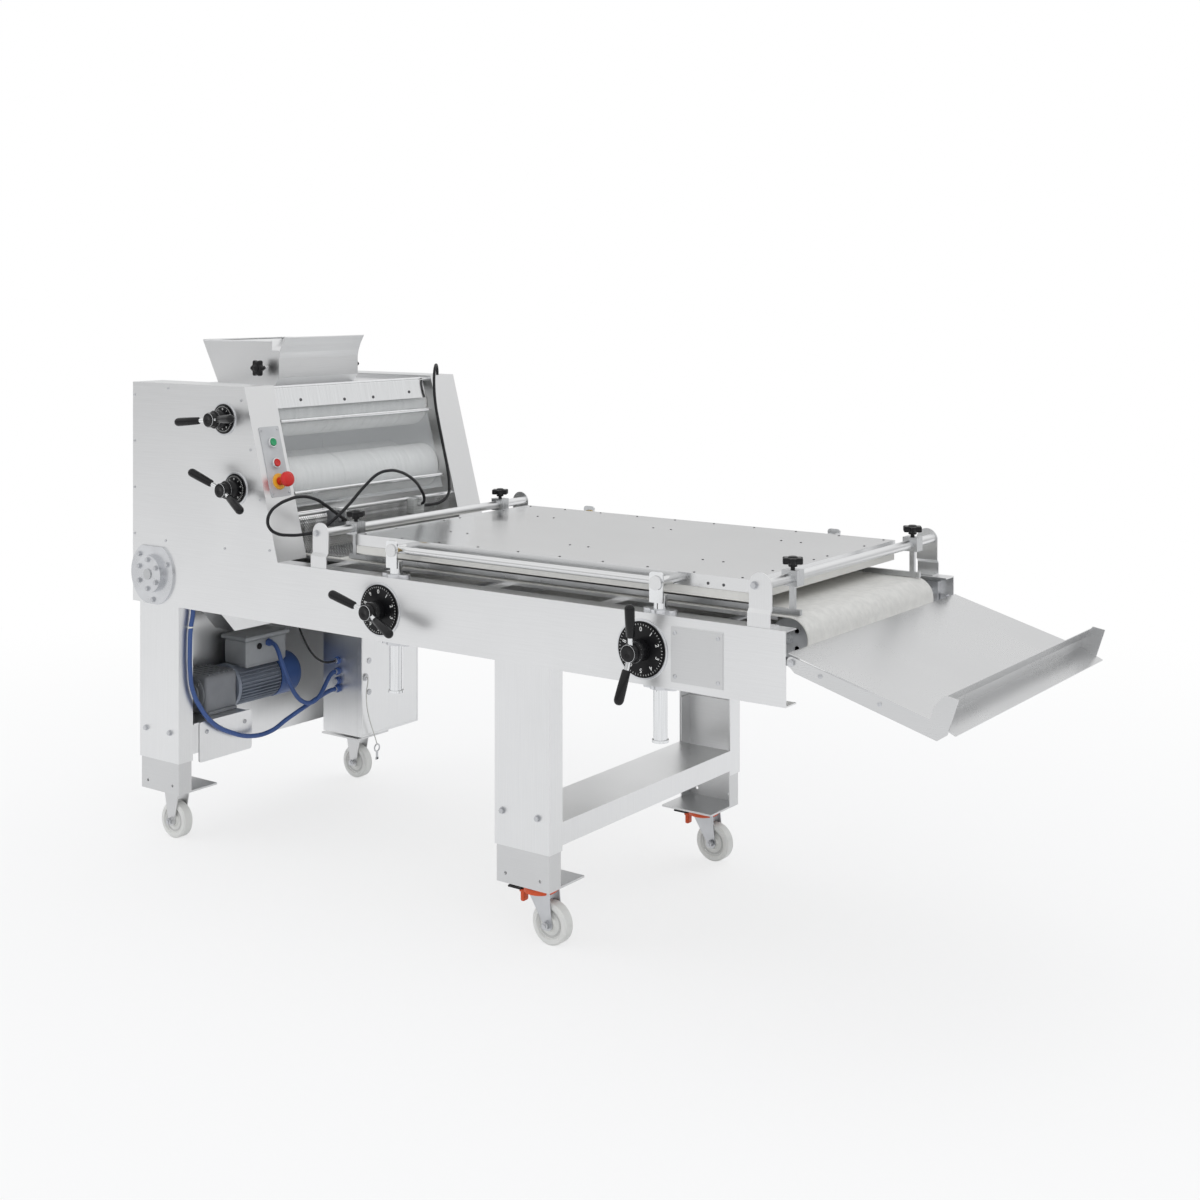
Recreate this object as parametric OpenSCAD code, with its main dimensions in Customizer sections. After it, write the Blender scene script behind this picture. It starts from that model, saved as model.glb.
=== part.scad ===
// Baguette moulder on castors: a hopper and two pairs of rollers sheet the dough,
// a chain mat curls it and a pressure board over a felt belt rolls it into a baguette.
// Lengths are in millimetres. X runs from the infeed end to the discharge tray,
// Y from the operator's side to the far side, and Z up from the floor.

/* [Side beams] */
// Length of the side beams
frame_len = 2100; // [2060:10:2300]
// Width over the two side beams
frame_w = 846; // [836:2:880]
// Height of the beams' underside above the floor
beam_z = 661; // [650:1:680]
// Depth of the side beams
beam_h = 160; // [156:1:170]
// Width of the beams' flanges
flange_w = 46; // [44:1:60]
// Thickness of the beam and leg sheet
beam_t = 3; // [2:0.5:4]

/* [Legs] */
// Width of a leg along the machine
leg_w = 163; // [150:1:175]
// Depth of a leg's channel
leg_d = 50; // [44:1:56]
// Distance of the infeed legs from the beams' end
leg_infeed_x = 31; // [10:1:60]
// Distance of the discharge legs from the beams' infeed end
leg_discharge_x = 1316; // [1200:1:1340]
// Height of the outer legs' lower ends
leg_end_z = 229; // [215:1:240]
// Height of the foot plates' top faces, set by the leg extensions
foot_z = 146; // [144:1:160]
// Depth of a foot plate across the machine
foot_d = 137; // [130:1:150]
// Thickness of a foot plate
foot_t = 5; // [4:1:6]
// Depth of the cross channel between the discharge legs
cross_h = 54; // [40:1:70]
// Height of the cross channel's lower edge
cross_z = 242; // [235:1:260]

/* [Castors] */
// Diameter of the nylon wheels
wheel_d = 100; // [90:1:104]
// Width of the nylon wheels
wheel_w = 32; // [28:1:36]
// Distance of the wheels' middle planes from the beam's outer face
wheel_inset = 62; // [58:1:70]
// Offset of a braked castor's wheel from its swivel axis
swivel_trail = 36; // [30:1:38]

/* [Head] */
// Length of the head at its top
head_top_len = 456; // [448:1:462]
// Length of the head at its foot
head_foot_len = 583; // [576:1:600]
// Height of the head above the beams
head_h = 455; // [450:1:470]
// Width of each side box of the head
side_box_w = 104.5; // [98:0.5:106]
// Thickness of the head's cover sheet
skin_t = 1.5; // [1:0.5:2]
// Thickness of the inner plates that carry the rollers
plate_t = 8; // [6:1:10]

/* [Rollers] */
// Diameter of the four sheeting rollers
roller_d = 130; // [120:1:132]
// Position of the upper gap lever along the machine
upper_lever_x = 379; // [374:1:382]
// Height of the upper gap lever
upper_lever_z = 1188; // [1180:1:1192]
// Position of the lower gap lever along the machine
lower_lever_x = 424; // [418:1:430]
// Height of the lower gap lever
lower_lever_z = 1003.5; // [998:0.5:1010]
// Gap between two rollers at rest
roller_gap = 6; // [4:0.5:8]
// Offset of the eccentric axles that set the gaps
eccentric = 3; // [2:0.25:3.5]

/* [Belt] */
// Gap from the outside of the frame to the belt
belt_inset = 109; // [108:1:143]
// Thickness of the felt belt
belt_t = 3; // [2:0.5:4]
// Height of the belt's upper face
belt_z = 829; // [826:1:832]
// Distance of the drive drum's axis from the beams' end
drum_x = 88; // [86:1:100]
// Height of the drive drum's axis
drum_z = 745; // [742:1:755]
// Distance of the idler drum's axis from the beams' infeed end
idler_x = 2047; // [2030:1:2049]
// Height of the idler drum's axis
idler_z = 781; // [778:1:785]

/* [Pressure board] */
// Start of the pressure board
board_x = 800; // [790:1:815]
// Length of the pressure board
board_len = 1172; // [1150:2:1176]
// Gap from the outside of the frame to the pressure board
board_inset = 66; // [65:1:73]
// Height of the board's upper face
board_z = 907; // [905:1:910]
// Height of the board's folded edges
board_edge = 28; // [24:1:30]
// Height of the board's underside above the belt
board_gap = 29; // [28:1:32]
// Position of the infeed lift posts along the machine
post_infeed_x = 980; // [970:1:1000]
// Position of the discharge lift posts along the machine
post_discharge_x = 1770; // [1750:1:1775]
// Diameter of the lift posts
post_d = 32; // [30:1:34]
// Height of the lift posts' lower ends
post_end_z = 534; // [520:1:560]
// Height of the board's pivot pins
pivot_z = 888; // [885:1:890]

/* [Side guides] */
// Start of the infeed rod stand
stand_infeed_x = 702; // [690:1:708]
// Start of the discharge rod stand
stand_discharge_x = 2005; // [1996:1:2010]
// Width of a rod stand
stand_w = 56; // [52:1:60]
// Height of a rod stand above the beam
stand_h = 115; // [108:1:120]
// Diameter of the cross rods
rod_d = 22; // [18:1:24]
// Height of the cross rods
rod_z = 912; // [908:1:916]
// Gap from the outside of the frame to each side guide
guide_inset = 125; // [123:1:193]
// Height of the side guides
guide_h = 12; // [10:1:13]

/* [Hopper] */
// Start of the hopper's rim, past the infeed end of the head
hopper_rim_x = -12; // [-16:1:0]
// Front plate of the hopper, from the infeed end
hopper_front_x = 309; // [300:1:312]
// Width of the hopper
hopper_w = 318; // [280:2:330]
// How far the hopper's back rim lies below its upper edge
hopper_rim_drop = 12; // [8:1:22]
// Height of the hopper's upper edge over the head, the highest point
hopper_h = 124; // [112:1:134]

/* [Discharge tray] */
// Distance of the tray's pivots from the beams' infeed end
tray_pivot_x = 2112; // [2110:1:2116]
// Height of the tray's pivots
tray_pivot_z = 757; // [750:1:762]
// Length of the tray's plate down its slope
tray_len = 321; // [300:1:340]
// Slope of the tray, in degrees below level
tray_angle = 16; // [12:0.5:20]

/* [Drive] */
// Diameter of the motor's ribbed barrel
motor_d = 124; // [112:1:130]
// Length of the motor's ribbed barrel
motor_len = 170; // [150:1:180]
// Length of the motor's fan cover
fan_len = 86; // [60:1:90]
// Height of the motor's axis
motor_z = 386; // [380:1:392]
// Distance of the motor's axis from the beams' infeed end
motor_x = 100; // [98:1:110]

/* [Cabinet] */
// Depth of the electric cabinet along the machine
cabinet_d = 158; // [140:1:162]
// Width of the electric cabinet across the machine
cabinet_w = 248; // [220:1:250]
// Height of the cabinet's underside
cabinet_z = 208; // [200:1:215]
// Height of the electric cabinet
cabinet_h = 440; // [420:1:450]

/* [Hidden] */
$fn = 64;
eps = 0.01;

// Clearances: between parts that pass each other, and of a running fit on its radius
gap = 0.4;
run = 0.05;
beam_top = beam_z + beam_h;
mid_y = frame_w / 2;
near_y = side_box_w;
far_y = frame_w - side_box_w;

// Drums, belt and bed
belt_y0 = belt_inset;
belt_y1 = frame_w - belt_inset;
drum_r = belt_z - drum_z - belt_t - gap;
idler_r = belt_z - idler_z - belt_t - gap;
drum_wall = 6;
shaft_r = 15;
shaft_out = 23;
idler_axle_r = 10;
idler_block_w = 40;
idler_block_h = 50;
idler_block_t = 20;
bearing_t = 6;
bearing_r = 88;
bearing_flange_r = 52;
bearing_flange_t = 14;
flange_bolt_r = 40;
plate_bolt_r = 72;
bed_t = 3;
bed_top = belt_z - belt_t - gap;
bed_inset = 3;
bed_x0 = drum_x + 50;
bed_x1 = idler_x - 30;
cross_top = beam_top - beam_t;
cross_w = 40;
cross_depth = 30;
cross_members = [330, 700, 1240, 1580];
crumb_x1 = leg_infeed_x + leg_w - 2;
crumb_x0 = crumb_x1 - 82;
crumb_z = 563;
crumb_run = 88;
crumb_inset = 70;
crumb_t = 1.5;
crumb_lip_w = 28;

// Head: its front leans back from the beams to the top
slope_run = head_foot_len - head_top_len;
slope_angle = atan2(slope_run, head_h);
slope_inset = skin_t / cos(slope_angle);
head_top_z = beam_top + head_h;
head_floor_t = 5;
top_cover_drop = 14;
cover_z = head_top_z - top_cover_drop;
cover_front_x = head_top_len - 22;
plate_gap = 0.3;
tie_r = 10;
tie_places = [[60, 1225], [60, 880], [440, 885]];
function slope_x(z) = head_foot_len - (z - beam_top) * slope_run / head_h;

// Rollers: the gap rollers turn on eccentric axles, the feed rollers on their own shafts
roller_r = roller_d / 2;
roller_wall = 9;
roller_shaft_r = 14;
journal_r = 20;
roller_end_gap = 1.5;
feed_offset = roller_d + roller_gap;
roller_y0 = near_y + roller_end_gap;
roller_y1 = far_y - roller_end_gap;
upper_roller_z = upper_lever_z + eccentric;
lower_roller_z = lower_lever_z + eccentric;
upper_feed_x = upper_lever_x - feed_offset;
lower_feed_x = lower_lever_x - feed_offset;

// Chain mat that curls the dough
mat_bar_x = 540;
mat_bar_z = 930;
mat_bar_r = 6;
mat_t = 2.4;
mat_w = belt_y1 - belt_y0 - 12;
mat_len = 154;
mat_columns = 30;
mat_rows_hung = 3;
mat_rows_laid = 6;
mat_wire = 4;

// Guard: clear sheet under a steel strip that turns on a rod at the head's top
guard_x = 446;
guard_z = 1267;
guard_rod_r = 4;
guard_knuckle_r = 6;
guard_top_z = 1250;
guard_low_z = 950;
guard_strip_z = 1213;
guard_strip_run = 5.8;
guard_strip_t = 1.5;
guard_sheet_t = 4;
guard_y0 = near_y + 3.5;
guard_y1 = 708;
guard_run = 12;
guard_bar_r = 6;
guard_bar_z = [1177, 987];

// Pressure board
board_y0 = board_inset;
board_x1 = board_x + board_len;
board_t = 2;
core_bottom = belt_z + board_gap;
post_y = 24;
post_r = post_d / 2;
pin_r = 11;
sleeve_r = 13;
side_rod_r = 9;
side_rod_y = 28;
bracket_w = 36;
bracket_t = 5;
bracket_y = 6;
bracket_foot_z = pivot_z - 44;
bracket_top_z = pivot_z + 24;
pivot_play = 0.6;
post_top_z = pivot_z - 28;
cap_r = 19;
cap_h = 6;
bush_r = 24;
bush_t = 8;
bush_len = 86;
bush_ear_r = 12;

// Rack and pinion of the board's lift
pinion_teeth = 15;
tooth_module = 1.75;
pressure_angle = 20;
backlash = 0.6;
pitch_r = pinion_teeth * tooth_module / 2;
tooth_pitch = PI * tooth_module;
root_depth = 1.25 * tooth_module;
rack_depth = root_depth + 0.3;
rack_embed = 7;
rack_w = 12;
rack_teeth = 18;
pinion_w = 10;
lever_shaft_r = 10;
board_lever_z = beam_z + 78;
lever_infeed_x = post_infeed_x - post_r - rack_depth - pitch_r;
lever_discharge_x = post_discharge_x - post_r - rack_depth - pitch_r;

// Levers and dials: the grips lean out from the hub
hub_r = 24;
hub_neck_r = 19;
hub_len = 58;
arm_root = 45;
arm_len = 112;
stub_r = 6;
grip_r = 10.5;
grip_len = 66;
lever_reach = 81;
arm_side = lever_reach - grip_r - arm_root;
arm_tilt = atan2(arm_side, arm_len - grip_r);
arm_slant = sqrt(pow(arm_len - grip_r, 2) + pow(arm_side, 2));
board_dial_r = 62.5;
gap_dial_r = 40;
dial_t = 7;
cover_plate = [1814, 1948, 677, 800];

// Cross rods and side guides
rod_r = rod_d / 2;
rod_inset = 42;
stand_t = 3;
stand_y = 10;
stand_foot = 40;
stand_step_z = beam_top + 29;
rod_y0 = stand_y + stand_t;
clamp_w = 38;
clamp_h = 34;
clamp_t = 32;
near_guide_y = guide_inset;
far_guide_y = frame_w - guide_inset;
guide_t = 10;
guide_z = belt_z + 2;
guide_overhang = 20;
hanger_w = 12;
infeed_rod_x = stand_infeed_x + rod_inset;
discharge_rod_x = stand_discharge_x + rod_inset;
knob_r = 25;
knob_lobe_r = 6;
knob_t = 14;
knob_stem_r = 5;
knob_hub_r = 10;
knob_lift = 12;

// Castors
wheel_r = wheel_d / 2;
axle_z = wheel_r;
axle_r = 6;
hub_gap = 2;
castor_plate_t = 4;
castor_plate_z = foot_z - foot_t - castor_plate_t;
castor_plate_l = 104;
castor_plate_w = 84;
fork_t = 3;
fork_top_z = castor_plate_z - 8;
fork_eye_r = 14;
king_r = 8;
race_r = 32;
ext_t = 3;
ext_clear = 0.5;
ext_top_z = leg_end_z + 190;
ext_hole_r = 4.1;
ext_hole_z = foot_z + 18;
ext_hole_inset = 30;
swivel_x = leg_discharge_x + leg_w / 2 + 6;
fixed_x = leg_infeed_x + leg_w / 2 + 1.5;
swivel_y = wheel_inset + 2;
pedal_pin_r = 4;
pedal_x = 35;
pedal_z = fork_top_z - 8;

// Hopper
top_z = head_top_z + hopper_h;
hopper_rim_z = top_z - hopper_rim_drop;
hopper_y0 = mid_y - hopper_w / 2;
hopper_y1 = mid_y + hopper_w / 2;
hopper_t = 2;
hopper_foot_x = 56;
hopper_floor_x = hopper_front_x - 17;
hopper_bend_z = cover_z + 22;
hopper_step_z = hopper_rim_z - 26;
flap_x = hopper_front_x - 54;
flap_z = cover_z + 50;
flap_rod_r = 6;
flap_up = 62;
flap_down = 34;
flap_angle = 20;
flap_t = 2;
throat_inset = 6;

// Tray, drawn along its slope from the pivots
tray_t = 2;
tray_arm_t = 3;
tray_arm_y = beam_t + 0.6;
tray_low = -18.5;
tray_high = 17;
tray_wall = 67.6;
tray_end = tray_len + 43.5;
tray_end_top = 78.5;
tray_lip = tray_len + 57.6;
tray_pin_r = 5;
lug_r = 9;
lug_y = tray_arm_y + tray_arm_t + 1.4;
lug_t = 5;
lug_x = frame_len - 30;

// Drive
gearbox_w = 118;
gearbox_h = 112;
gearbox_y0 = 128;
gearbox_y1 = gearbox_y0 + 118;
motor_fins = 28;
fin_h = 9;
output_r = 12;
sprocket_t = 6;
sprocket_y = 58;
drum_sprocket_r = 45;
drum_sprocket_teeth = 22;
motor_sprocket_r = 32;
motor_sprocket_teeth = 16;
chain_t = 10;
chain_w = 12;
chain_y = sprocket_y + sprocket_t / 2 - chain_w / 2;
shelf_t = 4;
shelf_z = motor_z - gearbox_h / 2 - shelf_t;
shelf_y0 = 70;
shelf_y1 = 263;
shelf_drop = 112;
panel_t = 1.5;
panel_z = 190;

// Cabinet
cabinet_t = 1.5;
door_depth = 18;
door_gap = 0.4;
cabinet_x0 = leg_infeed_x + leg_w;
cabinet_x1 = cabinet_x0 + cabinet_d;
cabinet_y1 = frame_w - flange_w + 2;
cabinet_y0 = cabinet_y1 - cabinet_w;
cabinet_top = cabinet_z + cabinet_h;
door_hinge_r = 4;
gland_x = 257;
gland_z = [342, 365, 394, 426];
gland_r = 9;
gland_len = 16;

// Free cables: hand-chosen points of each route, from its exit to its far end
cable_d = 8.5;
conduit_d = 13;
lead_d = 6;
string_d = 3;
guard_cable = [[574, 560, 918], [584, 560, 918], [592, 557, 930], [596, 548, 950], [612, 522, 968],
    [640, 477, 989], [678, 401, 1018], [697, 341, 1037], [704, 296, 1044], [700, 255, 1038],
    [690, 214, 1008], [682, 160, 962], [672, 104, 922], [656, 78, 902], [630, 42, 894],
    [616, 2, 896], [611, -36, 908], [610, -56, 934], [611, -44, 962], [612, -6, 982],
    [615, 46, 992], [618, 98, 982], [622, 148, 952], [619, 188, 926], [606, 220, 910],
    [590, 238, 906], [574, 238, 906]];
head_cable = [[436, 796, 1276], [436, 796, 1286], [441, 790, 1297], [456, 770, 1301], [472, 744, 1292],
    [482, 728, 1262], [490, 725, 1200], [506, 725, 1130], [524, 725, 1060], [542, 722, 1000],
    [553, 716, 958], [562, 702, 932], [567, 664, 914], [565, 624, 908], [560, 598, 908], [560, 582, 908]];
drive_conduit = [[206, 40, 661], [206, 40, 640], [205, 33, 600], [205, 30, 550], [205, 31, 480],
    [206, 38, 430], [209, 62, 378], [211, 109, 322], [215, 169, 285], [225, 235, 262],
    [235, 304, 264], [243, 356, 287], [250, 426, 313], [254, 475, 330], [257, 522, 342], [257, 538, 342]];
motor_conduit = [[152, 371, 498], [168, 371, 498], [196, 360, 488], [212, 361, 454], [225, 371, 412],
    [240, 383, 370], [252, 400, 336], [262, 420, 322], [266, 447, 328], [264, 484, 354],
    [259, 508, 384], [257, 524, 394], [257, 538, 394]];
sensor_lead = [[192, 395, 610], [214, 395, 610], [226, 400, 596], [238, 408, 550], [252, 420, 505],
    [257, 444, 466], [258, 478, 438], [257, 522, 426], [257, 538, 426]];
key_drop = [[0, 0, 0], [4, 0, 0], [8, -2, -11], [9, -9, -39], [9, -7, -83], [9, 5, -127],
    [9, 23, -171], [9, 36, -203]];
key_string = [for (p = key_drop) [cabinet_x1 + 5, cabinet_y0 + 15, cabinet_z + 177] + p];

// Middle of the whole machine, levers and tray included, where the origin lies
reach_x = tray_pivot_x + tray_end * cos(tray_angle) + tray_end_top * sin(tray_angle);
origin_x = (hopper_rim_x + reach_x) / 2;
origin_y = (frame_w + shaft_out - lever_reach) / 2;

// Shared shapes: blocks, sections pushed along an axis, rods and mirrored pairs
module box(x0, x1, y0, y1, z0, z1) translate([x0, y0, z0]) cube([x1 - x0, y1 - y0, z1 - z0]);

module xz(y0, y1) translate([0, y1, 0]) rotate([90, 0, 0]) linear_extrude(y1 - y0) children();

module yz(x0, x1) translate([x0, 0, 0]) rotate([90, 0, 90]) linear_extrude(x1 - x0) children();

module xy(z0, z1) translate([0, 0, z0]) linear_extrude(z1 - z0) children();

module y_rod(x, z, r, y0, y1) translate([x, y0, z]) rotate([-90, 0, 0]) cylinder(r = r, h = y1 - y0);

module x_rod(y, z, r, x0, x1) translate([x0, y, z]) rotate([0, 90, 0]) cylinder(r = r, h = x1 - x0);

module z_rod(x, y, r, z0, z1) translate([x, y, z0]) cylinder(r = r, h = z1 - z0);

module far_side() translate([0, frame_w, 0]) mirror([0, 1, 0]) children();

module both_sides() {
    children();
    far_side() children();
}

module placed() translate([-origin_x, -origin_y, 0]) children();

module rounded(w, h, r) {
    square([w - 2 * r, h], center = true);
    square([w, h - 2 * r], center = true);
    for (sx = [-1, 1], sy = [-1, 1]) translate([sx * (w / 2 - r), sy * (h / 2 - r)]) circle(r);
}

// Outline of a loop pulled tight round two discs, its ends in short chords
loop_steps = 36;

module loop2d(x1, z1, r1, x2, z2, r2) {
    along = atan2(z2 - z1, x2 - x1);
    spread = acos((r1 - r2) / norm([x2 - x1, z2 - z1]));
    polygon(concat(
        [for (i = [0:loop_steps]) let (a = along + spread + i * (360 - 2 * spread) / loop_steps)
            [x1 + r1 * cos(a), z1 + r1 * sin(a)]],
        [for (i = [0:loop_steps]) let (a = along - spread + i * 2 * spread / loop_steps)
            [x2 + r2 * cos(a), z2 + r2 * sin(a)]]));
}

// Tube swept along hand-chosen points, as one solid of flat faces
function unit(v) = v / norm(v);
function heading(pts, i) = i == 0 ? unit(pts[1] - pts[0])
    : i == len(pts) - 1 ? unit(pts[i] - pts[i - 1])
    : unit(unit(pts[i + 1] - pts[i]) + unit(pts[i] - pts[i - 1]));
function carry(side, dir) = unit(side - dir * (side * dir));
function sides(pts, i) = i == 0
    ? carry(abs(heading(pts, 0).z) > 0.9 ? [1, 0, 0] : [0, 0, 1], heading(pts, 0))
    : carry(sides(pts, i - 1), heading(pts, i));

module swept(pts, d, n) {
    rings = [for (i = [0:len(pts) - 1])
        let (dir = heading(pts, i), u = sides(pts, i), v = cross(dir, u))
        for (k = [0:n - 1]) pts[i] + d / 2 * (u * cos(360 * k / n) + v * sin(360 * k / n))];
    last = len(pts) - 1;
    walls = [for (i = [0:last - 1], k = [0:n - 1])
        let (a = i * n + k, b = i * n + (k + 1) % n)
        each [[a, a + n, b], [b, a + n, b + n]]];
    caps = [[for (k = [0:n - 1]) k], [for (k = [n - 1:-1:0]) last * n + k]];
    polyhedron(rings, concat(walls, caps));
}

// Frame: two channel beams with openings for the drum shaft, lift posts and lever shafts,
// and a plain cover over the idler's adjusters
module beam() {
    difference() {
        yz(0, frame_len) polygon([
            [0, beam_z], [flange_w, beam_z], [flange_w, beam_z + beam_t], [beam_t, beam_z + beam_t],
            [beam_t, cross_top], [flange_w, cross_top], [flange_w, beam_top], [0, beam_top]]);
        y_rod(drum_x, drum_z, shaft_r + 2, -eps, beam_t + eps);
        for (x = [lever_infeed_x, lever_discharge_x])
            y_rod(x, board_lever_z, lever_shaft_r + run, -eps, beam_t + eps);
        for (x = [post_infeed_x, post_discharge_x]) z_rod(x, post_y, post_r + 2, beam_z - eps, beam_top + eps);
    }
}

module side_beams() color("gainsboro") placed() {
    both_sides() beam();
    box(cover_plate[0], cover_plate[1], -2, 0, cover_plate[2], cover_plate[3]);
}

module cross_member(x) difference() {
    box(x, x + cross_w, beam_t, frame_w - beam_t, cross_top - cross_depth, cross_top);
    box(x + bed_t, x + cross_w - bed_t, 0, frame_w, cross_top - cross_depth - eps, cross_top - bed_t);
}

// Crumb tray under the drive drum, an open tub hung from the beams by its lips
module crumb_tub(inset) polygon([
    [flange_w + crumb_inset + inset, beam_z], [flange_w + crumb_inset + crumb_run + inset / 2, crumb_z + inset],
    [frame_w - flange_w - crumb_inset - crumb_run - inset / 2, crumb_z + inset],
    [frame_w - flange_w - crumb_inset - inset, beam_z]]);

module crumb_tray() {
    difference() {
        yz(crumb_x0, crumb_x1) crumb_tub(0);
        yz(crumb_x0 + crumb_t, crumb_x1 - crumb_t) translate([0, eps]) crumb_tub(crumb_t);
        box(crumb_x0 - eps, crumb_x1 + eps, 0, frame_w, beam_z - 3, beam_z + eps);
    }
    both_sides() {
        box(crumb_x1 - 42, crumb_x1 - 42 + crumb_lip_w, flange_w - 16, flange_w + crumb_inset + 6,
            beam_z - crumb_t, beam_z);
        box(crumb_x1 - 42, crumb_x1 - 42 + crumb_lip_w, flange_w + crumb_inset + 4.5,
            flange_w + crumb_inset + 6, beam_z - 5, beam_z);
    }
}

module belt_bed() color("silver") placed() {
    y0 = belt_y0 + bed_inset;
    box(bed_x0, bed_x1, y0, frame_w - y0, bed_top - bed_t, bed_top);
    both_sides() box(bed_x0, bed_x1, y0, y0 + bed_t, cross_top, bed_top);
    for (x = cross_members) cross_member(x);
    crumb_tray();
}

module belt() color("whitesmoke") placed() xz(belt_y0, belt_y1) difference() {
    loop2d(drum_x, drum_z, drum_r + gap + belt_t, idler_x, idler_z, idler_r + gap + belt_t);
    loop2d(drum_x, drum_z, drum_r + gap, idler_x, idler_z, idler_r + gap);
}

// Hollow barrel with end plates that have four openings round a bore
module barrel(x, z, r, wall, y0, y1, bore) difference() {
    y_rod(x, z, r, y0, y1);
    y_rod(x, z, r - wall, y0 + wall, y1 - wall);
    y_rod(x, z, bore, y0 - eps, y1 + eps);
    for (a = [45:90:315])
        y_rod(x + (r + bore) / 2 * cos(a), z + (r + bore) / 2 * sin(a), r / 8, y0 - eps, y1 + eps);
}

module sprocket(x, z, r, teeth) difference() {
    y_rod(x, z, r, sprocket_y, sprocket_y + sprocket_t);
    for (i = [0:teeth - 1])
        y_rod(x + r * cos(360 * i / teeth), z + r * sin(360 * i / teeth), r / teeth * 1.6,
            sprocket_y - eps, sprocket_y + sprocket_t + eps);
}

module drive_drum() color("darkgray") placed() {
    barrel(drum_x, drum_z, drum_r, drum_wall, belt_y0, belt_y1, shaft_r - 1);
    y_rod(drum_x, drum_z, shaft_r, -shaft_out, frame_w + shaft_out);
    sprocket(drum_x, drum_z, drum_sprocket_r, drum_sprocket_teeth);
}

module idler_drum() color("silver") placed() {
    barrel(idler_x, idler_z, idler_r, drum_wall, belt_y0, belt_y1, idler_axle_r - 1);
    y_rod(idler_x, idler_z, idler_axle_r, beam_t + 1, frame_w - beam_t - 1);
}

// Bearings: drum flanges, idler blocks, post bushings and the tray's pivot lugs
module drum_bearing() difference() {
    union() {
        xz(-bearing_t, 0) intersection() {
            translate([drum_x, drum_z]) circle(bearing_r);
            translate([0, beam_z]) square([2 * bearing_r + drum_x, beam_h]);
        }
        y_rod(drum_x, drum_z, bearing_flange_r, -bearing_t - bearing_flange_t, -bearing_t);
    }
    y_rod(drum_x, drum_z, shaft_r + run, -shaft_out, eps);
}

module idler_block() difference() {
    box(idler_x - idler_block_w / 2, idler_x + idler_block_w / 2, beam_t, beam_t + idler_block_t,
        idler_z - idler_block_h / 2, idler_z + idler_block_h / 2);
    y_rod(idler_x, idler_z, idler_axle_r + run, 0, beam_t + idler_block_t + eps);
}

module bushing(x, z) translate([x, post_y, z]) linear_extrude(bush_t) difference() {
    union() {
        circle(bush_r - gap);
        square([bush_len - 2 * bush_ear_r, 2 * bush_ear_r], center = true);
        for (s = [-1, 1]) translate([s * (bush_len / 2 - bush_ear_r), 0]) circle(bush_ear_r);
    }
    circle(post_r + run);
}

module tray_lug() difference() {
    union() {
        box(lug_x, lug_x + 16, beam_t, lug_y + lug_t, tray_pivot_z - 17, tray_pivot_z + 17);
        box(lug_x, tray_pivot_x, lug_y, lug_y + lug_t, tray_pivot_z - lug_r, tray_pivot_z + lug_r);
        y_rod(tray_pivot_x, tray_pivot_z, lug_r, lug_y, lug_y + lug_t);
    }
    y_rod(tray_pivot_x, tray_pivot_z, tray_pin_r + run, lug_y - eps, lug_y + lug_t + eps);
}

module bearings() color("dimgray") placed() both_sides() {
    drum_bearing();
    idler_block();
    for (x = [post_infeed_x, post_discharge_x], z = [beam_z - bush_t, beam_top]) bushing(x, z);
    tray_lug();
}

// Head: inner plates carry the rollers, sheet boxes cover them on both sides
module head_outline(inset) polygon([
    [inset, beam_top - (inset > 0 ? eps : 0)],
    [slope_x(beam_top) - inset / cos(slope_angle), beam_top - (inset > 0 ? eps : 0)],
    [slope_x(head_top_z - inset) - inset / cos(slope_angle), head_top_z - inset],
    [inset, head_top_z - inset]]);

module head_plate() difference() {
    xz(near_y - plate_t, near_y) intersection() {
        head_outline(skin_t + plate_gap);
        translate([0, beam_top]) square([head_foot_len, head_h]);
    }
    y_rod(upper_lever_x, upper_lever_z, journal_r + run, near_y - plate_t - eps, near_y + eps);
    y_rod(lower_lever_x, lower_lever_z, journal_r + run, near_y - plate_t - eps, near_y + eps);
    y_rod(upper_feed_x, upper_roller_z, roller_shaft_r + run, near_y - plate_t - eps, near_y + eps);
    y_rod(lower_feed_x, lower_roller_z, roller_shaft_r + run, near_y - plate_t - eps, near_y + eps);
    y_rod(guard_x, guard_z, guard_rod_r + run, near_y - plate_t - eps, near_y + eps);
}

module head_frame() color("silver") placed() {
    both_sides() {
        head_plate();
        box(20, head_foot_len - 30, skin_t + 8, near_y - plate_t, beam_top, beam_top + head_floor_t);
    }
    for (p = tie_places) y_rod(p.x, p.y, tie_r, near_y, far_y);
    y_rod(mat_bar_x, mat_bar_z, mat_bar_r, near_y, far_y);
    for (y = [238, 560])
        box(mat_bar_x, mat_bar_x + 44, y - 10, y + 10, mat_bar_z + mat_bar_r - 3, mat_bar_z + mat_bar_r);
}

module side_cover() difference() {
    xz(0, side_box_w) head_outline(0);
    xz(skin_t, side_box_w + eps) head_outline(skin_t);
}

module head_covers() color("gainsboro") placed() {
    difference() {
        side_cover();
        for (p = [[upper_lever_x, upper_lever_z], [lower_lever_x, lower_lever_z]])
            y_rod(p.x, p.y, lever_shaft_r + 1, -eps, skin_t + eps);
    }
    far_side() side_cover();
    difference() {
        box(0, cover_front_x, near_y, far_y, cover_z - skin_t, cover_z);
        box(hopper_foot_x + throat_inset, hopper_floor_x - throat_inset,
            hopper_y0 + throat_inset, hopper_y1 - throat_inset, cover_z - skin_t - eps, cover_z + eps);
    }
    box(0, skin_t, near_y, far_y, beam_top + 20, cover_z);
}

// Flat net of square openings in a sheet of the given size
module net(length, width, rows) difference() {
    square([length, width]);
    for (i = [0:rows - 1], j = [0:mat_columns - 1])
        translate([i * length / rows + mat_wire / 2, j * width / mat_columns + mat_wire / 2])
            square([length / rows - mat_wire, width / mat_columns - mat_wire]);
}

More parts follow.
